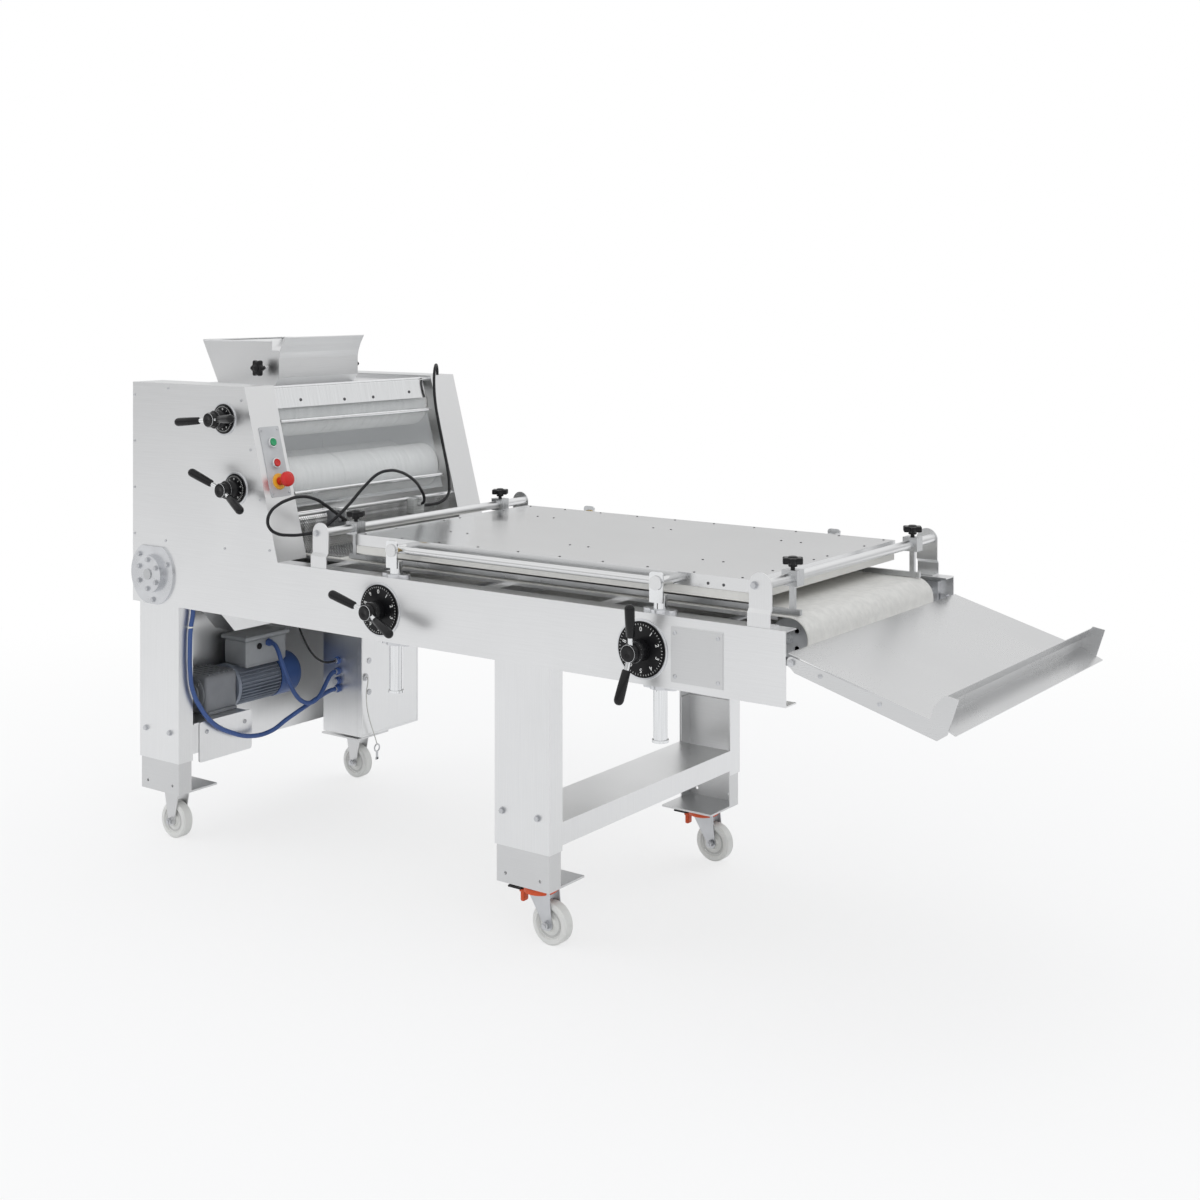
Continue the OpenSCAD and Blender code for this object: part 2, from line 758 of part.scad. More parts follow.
module curling_mat() color("dimgray") placed() {
    y0 = mid_y - mat_w / 2;
    top = mat_bar_z - mat_bar_r - gap;
    low = belt_z + gap;
    translate([mat_bar_x + mat_t / 2, y0, low]) rotate([0, -90, 0]) linear_extrude(mat_t)
        net(top - low, mat_w, mat_rows_hung);
    translate([mat_bar_x + mat_t / 2 - eps, y0, low]) linear_extrude(mat_t)
        net(mat_len, mat_w, mat_rows_laid);
}

// Rollers: the feed rollers have shafts, the gap rollers a bore for the eccentric axle
module feed_roller(x, z) {
    barrel(x, z, roller_r, roller_wall, roller_y0, roller_y1, roller_shaft_r - 1);
    y_rod(x, z, roller_shaft_r, near_y - plate_t - 4, far_y + plate_t + 4);
}

module gap_roller(x, z) barrel(x, z, roller_r, roller_wall, roller_y0, roller_y1, roller_shaft_r + run);

module upper_feed_roller() color("ivory") placed() feed_roller(upper_feed_x, upper_roller_z);

module upper_gap_roller() color("ivory") placed() gap_roller(upper_lever_x, upper_roller_z);

module lower_feed_roller() color("ivory") placed() feed_roller(lower_feed_x, lower_roller_z);

module lower_gap_roller() color("ivory") placed() gap_roller(lower_lever_x, lower_roller_z);

// Levers: a hub with two leaning grips on a shaft
module grip_arm() translate([0, -arm_root, 0]) rotate([0, 0, -arm_tilt]) {
    x_rod(0, 0, stub_r, 0, arm_slant - grip_len + 5);
    translate([arm_slant, 0, 0]) rotate([0, 90, 0]) rotate_extrude() polygon(concat(
        [[0, -grip_len], [grip_r - 3, -grip_len], [grip_r - 1.5, -grip_len + 2], [grip_r, -grip_len / 2]],
        [for (a = [0:15:90]) [grip_r * cos(a), grip_r * sin(a)]]));
}

module lever_head(angle) {
    y_rod(0, 0, hub_r, -arm_root + 8, -dial_t - gap);
    y_rod(0, 0, hub_neck_r, -hub_len, -arm_root + 9);
    for (turn = [0, 180]) rotate([0, -angle - turn, 0]) grip_arm();
}

module gap_lever(x, z, angle) {
    translate([x, 0, z]) lever_head(angle);
    y_rod(x, z, lever_shaft_r, -arm_root, near_y - plate_t);
    y_rod(x, z, journal_r, near_y - plate_t - 2, near_y + roller_end_gap / 2);
    y_rod(x, z + eccentric, roller_shaft_r, near_y, far_y);
    y_rod(x, z, journal_r, far_y - roller_end_gap / 2, far_y + plate_t + 2);
}

module upper_gap_lever() color("dimgray") placed() gap_lever(upper_lever_x, upper_lever_z, 5);

module lower_gap_lever() color("dimgray") placed() gap_lever(lower_lever_x, lower_lever_z, -25);

// Guard: a clear sheet parallel to the slope, hung from a folded strip, with two bars
module guard() color([0.85, 0.92, 0.95, 0.5]) placed() xz(guard_y0, guard_y1) polygon([
    [slope_x(guard_top_z) - guard_run, guard_top_z], [slope_x(guard_low_z) - guard_run, guard_low_z],
    [slope_x(guard_low_z) - guard_run - guard_sheet_t, guard_low_z],
    [slope_x(guard_top_z) - guard_run - guard_sheet_t, guard_top_z]]);

module guard_frame() color("lightgray") placed() {
    face = slope_x(guard_strip_z) - guard_strip_run;
    bend_z = guard_z - 2;
    bend_x = slope_x(bend_z) - guard_strip_run;
    y_rod(guard_x, guard_z, guard_rod_r, near_y - plate_t + 1, far_y + plate_t - 1);
    y_rod(guard_x, guard_z, guard_knuckle_r, guard_y0, guard_y1);
    xz(guard_y0, guard_y1) polygon([
        [guard_x, guard_z + guard_knuckle_r - 0.5], [bend_x, bend_z], [face, guard_strip_z],
        [slope_x(guard_strip_z) - guard_run, guard_strip_z],
        [slope_x(guard_strip_z + guard_strip_t) - guard_run, guard_strip_z + guard_strip_t],
        [slope_x(guard_strip_z + guard_strip_t) - guard_strip_run - guard_strip_t, guard_strip_z + guard_strip_t],
        [bend_x - guard_strip_t, bend_z - 0.6], [guard_x, guard_z + guard_knuckle_r - 2.5]]);
    for (z = guard_bar_z)
        y_rod(slope_x(z) - guard_run + guard_bar_r + 0.3, z, guard_bar_r, guard_y0, guard_y1);
}

// Dials on the levers' axes
module dial(x, z, r, y) difference() {
    union() {
        y_rod(x, z, r, y - dial_t + 2, y);
        y_rod(x, z, r - 3, y - dial_t, y - dial_t + 2);
    }
    y_rod(x, z, lever_shaft_r + run, y - dial_t - eps, y + eps);
}

module dial_plates() color([0.12, 0.12, 0.13]) placed() {
    dial(upper_lever_x, upper_lever_z, gap_dial_r, 0);
    dial(lower_lever_x, lower_lever_z, gap_dial_r, 0);
    for (x = [lever_infeed_x, lever_discharge_x]) dial(x, board_lever_z, board_dial_r, 0);
}

// Control panel on the sloping front of the near box: X points out of the slope here
panel_y = 57;
panel_w = 70;
panel_z0 = 985;
panel_z1 = 1168;
button_r = 10;
stop_r = 11;
start_z = 1126;
halt_z = 1072;
emergency_z = 1024;

module on_slope(z) translate([slope_x(z), panel_y, z]) rotate([0, -slope_angle, 0]) children();

module bezel(z, r, bore, h) difference() {
    on_slope(z) x_rod(0, 0, r, 2, h);
    on_slope(z) x_rod(0, 0, bore, 2 - eps, h + eps);
}

module control_panel() color("lightgray") placed() {
    middle = (panel_z0 + panel_z1) / 2;
    difference() {
        on_slope(middle) yz(0, 2) rounded(panel_w, (panel_z1 - panel_z0) / cos(slope_angle), 4);
        for (z = [start_z, halt_z]) on_slope(z) x_rod(0, 0, button_r + 0.2, -eps, 2 + eps);
        on_slope(emergency_z) x_rod(0, 0, stop_r + 0.2, -eps, 2 + eps);
    }
    bezel(start_z, 14, button_r + 0.2, 8);
    bezel(halt_z, 14, button_r + 0.2, 8);
    bezel(emergency_z, 21, stop_r + 0.2, 5);
}

module start_button() color("green") placed() on_slope(start_z) x_rod(0, 0, button_r, 3.4, 12);

module stop_button() color("red") placed() on_slope(halt_z) x_rod(0, 0, button_r, 3.4, 12);

module emergency_button() color("red") placed() on_slope(emergency_z) {
    x_rod(0, 0, stop_r, 5.4, 28);
    translate([26, 0, 0]) rotate([0, 90, 0]) rotate_extrude()
        polygon([[0, 0], [16, 0], [20, 5], [20, 13], [17, 18], [0, 20]]);
}

// Hopper: side plates, a sloping back and a front with a flared edge
module hopper() color("gainsboro") placed() difference() {
    union() {
        for (y = [hopper_y0, hopper_y1 - hopper_t]) xz(y, y + hopper_t) polygon([
            [hopper_rim_x, hopper_rim_z], [hopper_foot_x, cover_z], [hopper_floor_x, cover_z],
            [hopper_front_x, hopper_bend_z], [hopper_front_x, hopper_step_z],
            [hopper_front_x - 31, hopper_step_z], [hopper_front_x - 29, hopper_rim_z]]);
        xz(hopper_y0, hopper_y1) polygon([
            [hopper_rim_x, hopper_rim_z], [hopper_foot_x, cover_z],
            [hopper_foot_x + hopper_t + 0.3, cover_z], [hopper_rim_x + hopper_t + 0.3, hopper_rim_z]]);
        xz(hopper_y0, hopper_y1) polygon([
            [hopper_floor_x, cover_z], [hopper_front_x, hopper_bend_z], [hopper_front_x, top_z - 62],
            [hopper_front_x + 4, top_z - 44], [hopper_front_x + 12, top_z - 24],
            [hopper_front_x + 26, top_z], [hopper_front_x + 23.7, top_z],
            [hopper_front_x + 10, top_z - 23], [hopper_front_x + 2, top_z - 43],
            [hopper_front_x - 2, top_z - 61.5], [hopper_front_x - 2, hopper_bend_z + 0.7],
            [hopper_floor_x - 2.4, cover_z]]);
    }
    y_rod(flap_x, flap_z, flap_rod_r + run, hopper_y0 - eps, hopper_y1 + eps);
}

// Deflector inside the hopper, held at an angle by a knob at each end of its rod
module hopper_flap() color("silver") placed() {
    y_rod(flap_x, flap_z, flap_rod_r, hopper_y0 - 6, hopper_y1 + 6);
    translate([flap_x, 0, flap_z]) rotate([0, -flap_angle, 0])
        box(-flap_t / 2, flap_t / 2, hopper_y0 + hopper_t + 2, hopper_y1 - hopper_t - 2, -flap_down, flap_up);
}

module star(r) {
    circle(r - knob_lobe_r);
    for (a = [0:60:300]) rotate(a) translate([r - knob_lobe_r, 0]) circle(knob_lobe_r);
}

module side_knob() xz(hopper_y0 - 6 - gap - knob_t - 8, hopper_y0 - 6 - gap) circle(knob_hub_r);

module flap_knob() {
    translate([flap_x, 0, flap_z]) {
        side_knob();
        xz(hopper_y0 - 6 - gap - knob_t - 8, hopper_y0 - 6 - gap - 8) star(knob_r);
    }
}

module flap_knob_near() color("dimgray") placed() flap_knob();

module flap_knob_far() color("dimgray") placed() far_side() flap_knob();

// Stands on the beams hold the two cross rods that the side guides slide on
module stand(x) {
    difference() {
        intersection() {
            yz(x, x + stand_w) polygon([
                [beam_t, beam_top], [stand_foot, beam_top], [stand_foot, beam_top + stand_t],
                [beam_t + stand_t, beam_top + stand_t], [beam_t + stand_t, stand_step_z],
                [stand_y + stand_t, stand_step_z + 8], [stand_y + stand_t, beam_top + stand_h],
                [stand_y, beam_top + stand_h], [stand_y, stand_step_z + 9], [beam_t, stand_step_z + 1]]);
            xz(0, stand_foot + 1) translate([x + stand_w / 2, 0]) {
                translate([-stand_w / 2, beam_top]) square([stand_w, stand_h - stand_w / 2]);
                translate([0, beam_top + stand_h - stand_w / 2]) circle(stand_w / 2);
            }
        }
        y_rod(x + 14, rod_z - 4, 4.5, 0, stand_foot);
    }
}

module guide_stands() color("gainsboro") placed() {
    for (x = [stand_infeed_x, stand_discharge_x]) {
        both_sides() stand(x);
        y_rod(x + rod_inset, rod_z, rod_r, rod_y0, frame_w - rod_y0);
    }
}

// Side guide: a bar over the belt, hung from a clamp on each cross rod
module rod_clamp(x, y) {
    difference() {
        box(x - clamp_w / 2, x + clamp_w / 2, y - clamp_t / 2, y + clamp_t / 2,
            rod_z - clamp_h / 2, rod_z + clamp_h / 2);
        y_rod(x, rod_z, rod_r + run, y - clamp_t, y + clamp_t);
        z_rod(x, y, knob_stem_r + run, rod_z, rod_z + clamp_h);
    }
    box(x - hanger_w / 2, x + hanger_w / 2, y - guide_t / 2, y + guide_t / 2,
        guide_z, rod_z - clamp_h / 2);
}

module side_guide(y) {
    for (x = [infeed_rod_x, discharge_rod_x]) rod_clamp(x, y);
    box(infeed_rod_x - guide_overhang, discharge_rod_x + guide_overhang, y - guide_t / 2, y + guide_t / 2,
        guide_z, guide_z + guide_h);
}

module near_guide() color("darkslategray") placed() side_guide(near_guide_y);

module far_guide() color("darkslategray") placed() side_guide(far_guide_y);

module clamp_knob(x, y) {
    z0 = rod_z + clamp_h / 2 + knob_lift;
    z_rod(x, y, knob_stem_r, rod_z + rod_r + gap, z0);
    z_rod(x, y, knob_hub_r, z0 - 6, z0 + knob_t + 3);
    translate([x, y, z0]) linear_extrude(knob_t) star(knob_r);
}

module near_infeed_knob() color("dimgray") placed() clamp_knob(infeed_rod_x, near_guide_y);

module near_discharge_knob() color("dimgray") placed() clamp_knob(discharge_rod_x, near_guide_y);

module far_infeed_knob() color("dimgray") placed() clamp_knob(infeed_rod_x, far_guide_y);

module far_discharge_knob() color("dimgray") placed() clamp_knob(discharge_rod_x, far_guide_y);

// Pressure board: folded skin with pivot pins and side rods, over a plastic core
module board_skin() difference() {
    box(board_x, board_x1, board_y0, frame_w - board_y0, board_z - board_edge, board_z);
    box(board_x + board_t, board_x1 - board_t, board_y0 + board_t, frame_w - board_y0 - board_t,
        board_z - board_edge - eps, board_z - board_t);
}

module pressure_board() color("gainsboro") placed() {
    board_skin();
    both_sides() {
        for (x = [post_infeed_x, post_discharge_x]) {
            y_rod(x, pivot_z, pin_r, bracket_y - gap - 3, board_y0 + board_t / 2);
            y_rod(x, pivot_z, pin_r + 5, bracket_y - gap - 4, bracket_y - gap);
        }
        x_rod(side_rod_y, pivot_z, side_rod_r, post_infeed_x, post_discharge_x);
    }
}

module board_core() color("ivory") placed() box(board_x + board_t, board_x1 - board_t,
    board_y0 + board_t, frame_w - board_y0 - board_t, core_bottom, board_z - board_t);

// Sleeves on the infeed pins, which tilt in their brackets as the board is set
module pivot_sleeves() color("goldenrod") placed() both_sides() difference() {
    y_rod(post_infeed_x, pivot_z, sleeve_r, bracket_y, side_rod_y - side_rod_r - gap);
    y_rod(post_infeed_x, pivot_z, pin_r + run, bracket_y - eps, side_rod_y);
}

// Involute pinion: half angle of a tooth at each radius, from its root to its tip
base_r = pitch_r * cos(pressure_angle);
tip_r = pitch_r + tooth_module;
root_r = pitch_r - root_depth;
function roll(p) = tan(p) * 180 / PI - p;
function half_tooth(r) = 90 / pinion_teeth - backlash + roll(pressure_angle)
    - roll(acos(min(1, base_r / r)));
flank_steps = [for (i = [0:4]) max(base_r, root_r) + i * (tip_r - max(base_r, root_r)) / 4];

module pinion2d() polygon([for (i = [0:pinion_teeth - 1]) let (c = 360 * i / pinion_teeth) each concat(
    [[root_r * cos(c - half_tooth(base_r)), root_r * sin(c - half_tooth(base_r))]],
    [for (r = flank_steps) [r * cos(c - half_tooth(r)), r * sin(c - half_tooth(r))]],
    [for (k = [4:-1:0]) let (r = flank_steps[k]) [r * cos(c + half_tooth(r)), r * sin(c + half_tooth(r))]],
    [[root_r * cos(c + half_tooth(base_r)), root_r * sin(c + half_tooth(base_r))]])]);

// Rack on a post: straight-sided teeth that point to the pinion, with a gap level with its axis
module rack2d() {
    half = tooth_pitch / 4 - backlash * PI / 180 * pitch_r;
    lean = tan(pressure_angle);
    pitch_x = -post_r - rack_depth;
    root_x = pitch_x + root_depth;
    reach = rack_teeth / 2 * tooth_pitch;
    translate([root_x, -reach]) square([rack_embed, 2 * reach]);
    for (k = [-rack_teeth / 2:rack_teeth / 2 - 1]) translate([0, (k + 0.5) * tooth_pitch]) polygon([
        [root_x + eps, -half - root_depth * lean], [pitch_x - tooth_module, -half + tooth_module * lean],
        [pitch_x - tooth_module, half - tooth_module * lean], [root_x + eps, half + root_depth * lean]]);
}

module post(x, hole_r) {
    z_rod(x, post_y, post_r, post_end_z + cap_h, post_top_z);
    z_rod(x, post_y, cap_r, post_end_z, post_end_z + cap_h);
    xz(post_y - rack_w / 2, post_y + rack_w / 2) translate([x, board_lever_z]) rack2d();
    difference() {
        union() {
            box(x - bracket_w / 2, x + bracket_w / 2, bracket_y, bracket_y + bracket_t,
                bracket_foot_z, bracket_top_z - 8);
            xz(bracket_y, bracket_y + bracket_t)
                translate([x, bracket_top_z - 12]) rounded(bracket_w, 24, 8);
        }
        y_rod(x, pivot_z, hole_r, bracket_y - eps, bracket_y + bracket_t + eps);
    }
}

module infeed_posts() color("silver") placed() both_sides() post(post_infeed_x, sleeve_r + pivot_play);

module discharge_posts() color("silver") placed() both_sides() post(post_discharge_x, pin_r + pivot_play);

module board_lever(x, angle) {
    translate([x, 0, board_lever_z]) lever_head(angle);
    y_rod(x, board_lever_z, lever_shaft_r, -arm_root, frame_w - 1);
    both_sides() difference() {
        xz(post_y - pinion_w / 2, post_y + pinion_w / 2) translate([x, board_lever_z]) pinion2d();
        y_rod(x, board_lever_z, lever_shaft_r - 1, post_y - pinion_w, post_y + pinion_w);
    }
}

module infeed_board_lever() color("dimgray") placed() board_lever(lever_infeed_x, -21.5);

module discharge_board_lever() color("dimgray") placed() board_lever(lever_discharge_x, 82);

// Legs: channels open to the inside, with a channel across between the discharge legs
module channel2d(x0, w, y0, d, t) polygon([
    [x0, y0], [x0 + w, y0], [x0 + w, y0 + d], [x0 + w - t, y0 + d],
    [x0 + w - t, y0 + t], [x0 + t, y0 + t], [x0 + t, y0 + d], [x0, y0 + d]]);

module legs() color("gainsboro") placed() {
    both_sides() for (x = [leg_infeed_x, leg_discharge_x])
        xy(leg_end_z, beam_z) channel2d(x, leg_w, 0, leg_d, beam_t);
    xz(leg_d, frame_w - leg_d) translate([0, 2 * cross_z + cross_h]) mirror([0, 1])
        channel2d(leg_discharge_x, leg_w, cross_z, cross_h, beam_t);
}

// Leg extensions with foot plates, castor plates and the fixed forks of the infeed castors
ext_y = beam_t + ext_clear;
ext_w = leg_w - 2 * ext_y;

module castor_plate(x, y, bore) difference() {
    translate([x, y, castor_plate_z]) linear_extrude(castor_plate_t)
        rounded(castor_plate_l, castor_plate_w, 8);
    z_rod(x, y, bore, castor_plate_z - eps, castor_plate_z + castor_plate_t + eps);
}

module extension(x0) {
    difference() {
        xy(foot_z, ext_top_z) channel2d(x0 + ext_y, ext_w, ext_y, leg_d - ext_y - 2, ext_t);
        for (x = [x0 + ext_hole_inset, x0 + leg_w - ext_hole_inset])
            y_rod(x, ext_hole_z, ext_hole_r, 0, ext_y + ext_t + eps);
    }
    box(x0 + ext_y, x0 + ext_y + ext_w, ext_y, ext_y + foot_d, foot_z - foot_t, foot_z);
}

module cheek(x, wheel_x, y) xz(y, y + fork_t) {
    polygon([[x - 28, fork_top_z], [wheel_x - fork_eye_r + 1, axle_z], [wheel_x + fork_eye_r - 1, axle_z],
        [max(x + 28, wheel_x + 4), fork_top_z]]);
    translate([wheel_x, axle_z]) circle(fork_eye_r);
}

module fork(x, wheel_x, y) {
    side = wheel_w / 2 + hub_gap;
    for (s = [y - side - fork_t, y + side]) cheek(x, wheel_x, s);
    box(x - 28, max(x + 28, wheel_x + 4), y - side - fork_t, y + side + fork_t,
        fork_top_z - fork_t, fork_top_z);
    y_rod(wheel_x, axle_z, axle_r, y - side - fork_t - 4, y + side + fork_t + 4);
    y_rod(wheel_x, axle_z, axle_r + 4, y - side - fork_t - 6, y - side - fork_t);
}

module leg_extensions() color("silver") placed() both_sides() {
    extension(leg_infeed_x);
    extension(leg_discharge_x);
    castor_plate(fixed_x, wheel_inset, king_r);
    z_rod(fixed_x, wheel_inset, race_r, fork_top_z, castor_plate_z + castor_plate_t);
    fork(fixed_x, fixed_x, wheel_inset);
    castor_plate(swivel_x, swivel_y, king_r + run);
}

module swivel_fork() {
    z_rod(swivel_x, swivel_y, race_r, fork_top_z, castor_plate_z - gap);
    z_rod(swivel_x, swivel_y, king_r, fork_top_z, castor_plate_z + castor_plate_t);
    fork(swivel_x, swivel_x + swivel_trail, swivel_y);
    difference() {
        box(swivel_x - pedal_x - 8, swivel_x - 27, swivel_y - 8, swivel_y + 8, pedal_z - 7, fork_top_z);
        y_rod(swivel_x - pedal_x, pedal_z, pedal_pin_r + run, swivel_y - 9, swivel_y + 9);
    }
}

module near_swivel_fork() color("silver") placed() swivel_fork();

module far_swivel_fork() color("silver") placed() far_side() swivel_fork();

module brake_pedal() {
    y_rod(swivel_x - pedal_x, pedal_z, pedal_pin_r, swivel_y - 12, swivel_y + 12);
    for (s = [-12, 8 + gap]) box(swivel_x - pedal_x - 14, swivel_x - pedal_x + 5,
        swivel_y + s, swivel_y + s + 12 - 8 - gap, pedal_z - 6, pedal_z + 5);
    box(swivel_x - pedal_x - 48, swivel_x - pedal_x - 10, swivel_y - 20, swivel_y + 20,
        pedal_z - 6, pedal_z - 2);
}

module near_brake_pedal() color("dimgray") placed() brake_pedal();

module far_brake_pedal() color("dimgray") placed() far_side() brake_pedal();

module wheel(x, y) translate([x, y, axle_z]) rotate([-90, 0, 0]) rotate_extrude() {
    half = wheel_w / 2;
    polygon([[axle_r + run, -half], [15, -half], [18, -half + 5], [wheel_r - 16, -half + 5],
        [wheel_r - 13, -half], [wheel_r - 4, -half], [wheel_r, -half + 4], [wheel_r, half - 4],
        [wheel_r - 4, half], [wheel_r - 13, half], [wheel_r - 16, half - 5], [18, half - 5],
        [15, half], [axle_r + run, half]]);
}

module near_infeed_wheel() color("whitesmoke") placed() wheel(fixed_x, wheel_inset);

module far_infeed_wheel() color("whitesmoke") placed() wheel(fixed_x, frame_w - wheel_inset);

module near_discharge_wheel() color("whitesmoke") placed() wheel(swivel_x + swivel_trail, swivel_y);

module far_discharge_wheel() color("whitesmoke") placed() wheel(swivel_x + swivel_trail, frame_w - swivel_y);

// Drive: gearbox, ribbed motor with fan cover and terminal box, sprocket and chain
module gearmotor() color("slategray") placed() {
    difference() {
        union() {
            xz(gearbox_y0, gearbox_y1) translate([motor_x, motor_z]) rounded(gearbox_w, gearbox_h, 12);
            xz(gearbox_y0 - 8, gearbox_y0) translate([motor_x, motor_z]) circle(34);
        }
        y_rod(motor_x, motor_z, output_r + run, gearbox_y0 - 9, gearbox_y0 + 30);
    }
    xz(gearbox_y1, gearbox_y1 + motor_len) translate([motor_x, motor_z]) {
        circle(motor_d / 2 - fin_h);
        for (i = [0:motor_fins - 1]) rotate(360 * i / motor_fins)
            translate([motor_d / 2 - fin_h - 2, -1.5]) square([fin_h + 2, 3]);
    }
    y_rod(motor_x, motor_z, motor_d / 2 + 2, gearbox_y1, gearbox_y1 + 12);
    y_rod(motor_x, motor_z, motor_d / 2 + 1, gearbox_y1 + motor_len, gearbox_y1 + motor_len + fan_len);
    box(motor_x - 44, motor_x + 52, gearbox_y1 + 37, gearbox_y1 + motor_len + 29,
        motor_z + motor_d / 2 - 6, motor_z + motor_d / 2 + 68);
    box(motor_x - 50, motor_x + 58, gearbox_y1 + 31, gearbox_y1 + motor_len + 35,
        motor_z + motor_d / 2 + 68, motor_z + motor_d / 2 + 78);
}

module motor_sprocket() color("gray") placed() {
    sprocket(motor_x, motor_z, motor_sprocket_r, motor_sprocket_teeth);
    y_rod(motor_x, motor_z, output_r, sprocket_y - 6, gearbox_y0 + 28);
}

module drive_chain() color("gray") placed() xz(chain_y, chain_y + chain_w) difference() {
    loop2d(drum_x, drum_z, drum_sprocket_r + gap + chain_t, motor_x, motor_z, motor_sprocket_r + gap + chain_t);
    loop2d(drum_x, drum_z, drum_sprocket_r + gap, motor_x, motor_z, motor_sprocket_r + gap);
}

module motor_shelf() color("silver") placed() {
    box(leg_infeed_x + panel_t, leg_infeed_x + leg_w, leg_d + 4, gearbox_y1, shelf_z, shelf_z + shelf_t);
    translate([leg_infeed_x + leg_w, 0, 0]) yz(0, shelf_t)
        translate([(shelf_y0 + shelf_y1) / 2, shelf_z + shelf_t - shelf_drop / 2])
            rounded(shelf_y1 - shelf_y0, shelf_drop, 8);
    box(leg_infeed_x, leg_infeed_x + panel_t, leg_d, frame_w - leg_d, panel_z, beam_z);
}

// Cabinet: a shell with cable glands, closed by a door hinged at its far edge
module cabinet() color("silver") placed() {
    x1 = cabinet_x1 - door_depth - door_gap;
    difference() {
        box(cabinet_x0, x1, cabinet_y0, cabinet_y1, cabinet_z, cabinet_top);
        box(cabinet_x0 + cabinet_t, x1 + eps, cabinet_y0 + cabinet_t, cabinet_y1 - cabinet_t,
            cabinet_z + cabinet_t, cabinet_top - cabinet_t);
    }
    for (z = gland_z) y_rod(gland_x, z, gland_r, cabinet_y0 - gland_len, cabinet_y0);
    for (x = [cabinet_x0 + 12, x1 - 42]) {
        box(x, x + 30, cabinet_y1 - 40, frame_w - 16, beam_z - 4, beam_z);
        box(x, x + 30, cabinet_y1 - 40, cabinet_y1 - 36, cabinet_top, beam_z);
    }
}

module cabinet_door() color("silver") placed() difference() {
    union() {
        box(cabinet_x1 - door_depth, cabinet_x1, cabinet_y0, cabinet_y1, cabinet_z, cabinet_top);
        z_rod(cabinet_x1 - door_depth + door_hinge_r, cabinet_y1 + door_hinge_r - 1, door_hinge_r,
            cabinet_z + 40, cabinet_top - 40);
        x_rod(key_string[0].y, key_string[0].z, 9, cabinet_x1 - 1, key_string[0].x);
    }
    box(cabinet_x1 - door_depth - eps, cabinet_x1 - cabinet_t, cabinet_y0 + cabinet_t,
        cabinet_y1 - cabinet_t, cabinet_z + cabinet_t, cabinet_top - cabinet_t);
}

// Discharge tray, hung from two pivots: U runs down its slope and W stands square to it
module on_tray() translate([tray_pivot_x, 0, tray_pivot_z]) rotate([0, tray_angle, 0]) children();

module tray() color("gainsboro") placed() on_tray() {
    y0 = tray_arm_y;
    both_sides() {
        xz(y0, y0 + tray_arm_t) {
            circle(tray_high - 5);
            polygon([[0, -tray_high + 5], [12, tray_low], [tray_end - 20, tray_low], [tray_end - 3, 1.7],
                [tray_end, tray_end_top], [tray_end - 29.5, tray_end_top - 3.5],
                [tray_len - 3, 38], [tray_len, tray_high], [0, tray_high - 5]]);
        }
        y_rod(0, 0, tray_pin_r, tray_arm_y - 2, lug_y + lug_t + 3);
    }
    xz(y0, frame_w - y0) polygon([
        [-12, tray_high - tray_t], [tray_len + 1, tray_high - tray_t], [tray_lip, 6.7],
        [tray_lip, 6.7 + tray_t], [tray_len + 2, tray_high], [-12, tray_high]]);
    xz(y0, frame_w - y0) polygon([
        [tray_len, tray_high - tray_t], [tray_len - 3, 38], [tray_len + 9, tray_wall],
        [tray_len + 11, tray_wall], [tray_len - 0.9, 38], [tray_len + 2, tray_high - tray_t]]);
}

// Free cables, with the two plugs that hang under the mat's bar, and the key on its string
module plug(x, y) {
    z1 = mat_bar_z + mat_bar_r - 3;
    box(x - 14, x + 14, y - 22, y + 22, z1 - 44, z1);
}

module cables() color([0.15, 0.15, 0.16]) placed() {
    swept(guard_cable, cable_d, 8);
    swept(head_cable, cable_d, 8);
    swept(drive_conduit, conduit_d, 8);
    swept(motor_conduit, conduit_d, 8);
    swept(sensor_lead, lead_d, 8);
    plug(mat_bar_x + 20, 238);
    plug(mat_bar_x + 20, 560);
}

module key_cord() color("whitesmoke") placed() {
    swept(key_string, string_d, 8);
    last = key_string[len(key_string) - 1];
    translate([last.x - 1.5, last.y, last.z - 14]) rotate([90, 0, 90]) linear_extrude(3) {
        circle(13.6);
        translate([-6, -34]) square([12, 30]);
    }
}

// Bolts and screws, as domed or hexagonal heads on the surfaces that they hold
module screw_y(x, z, r, h) {
    y_rod(x, z, r, -h, 0);
    translate([x, -h - 1.2, z]) rotate([-90, 0, 0]) cylinder(r1 = r * 0.6, r2 = r, h = 1.2);
}

module hex_y(x, z, r, h) {
    y_rod(x, z, r + 2, -1.5, 0);
    translate([x, -h - 1.5, z]) rotate([-90, 0, 0]) cylinder(r = r, h = h, $fn = 6);
}

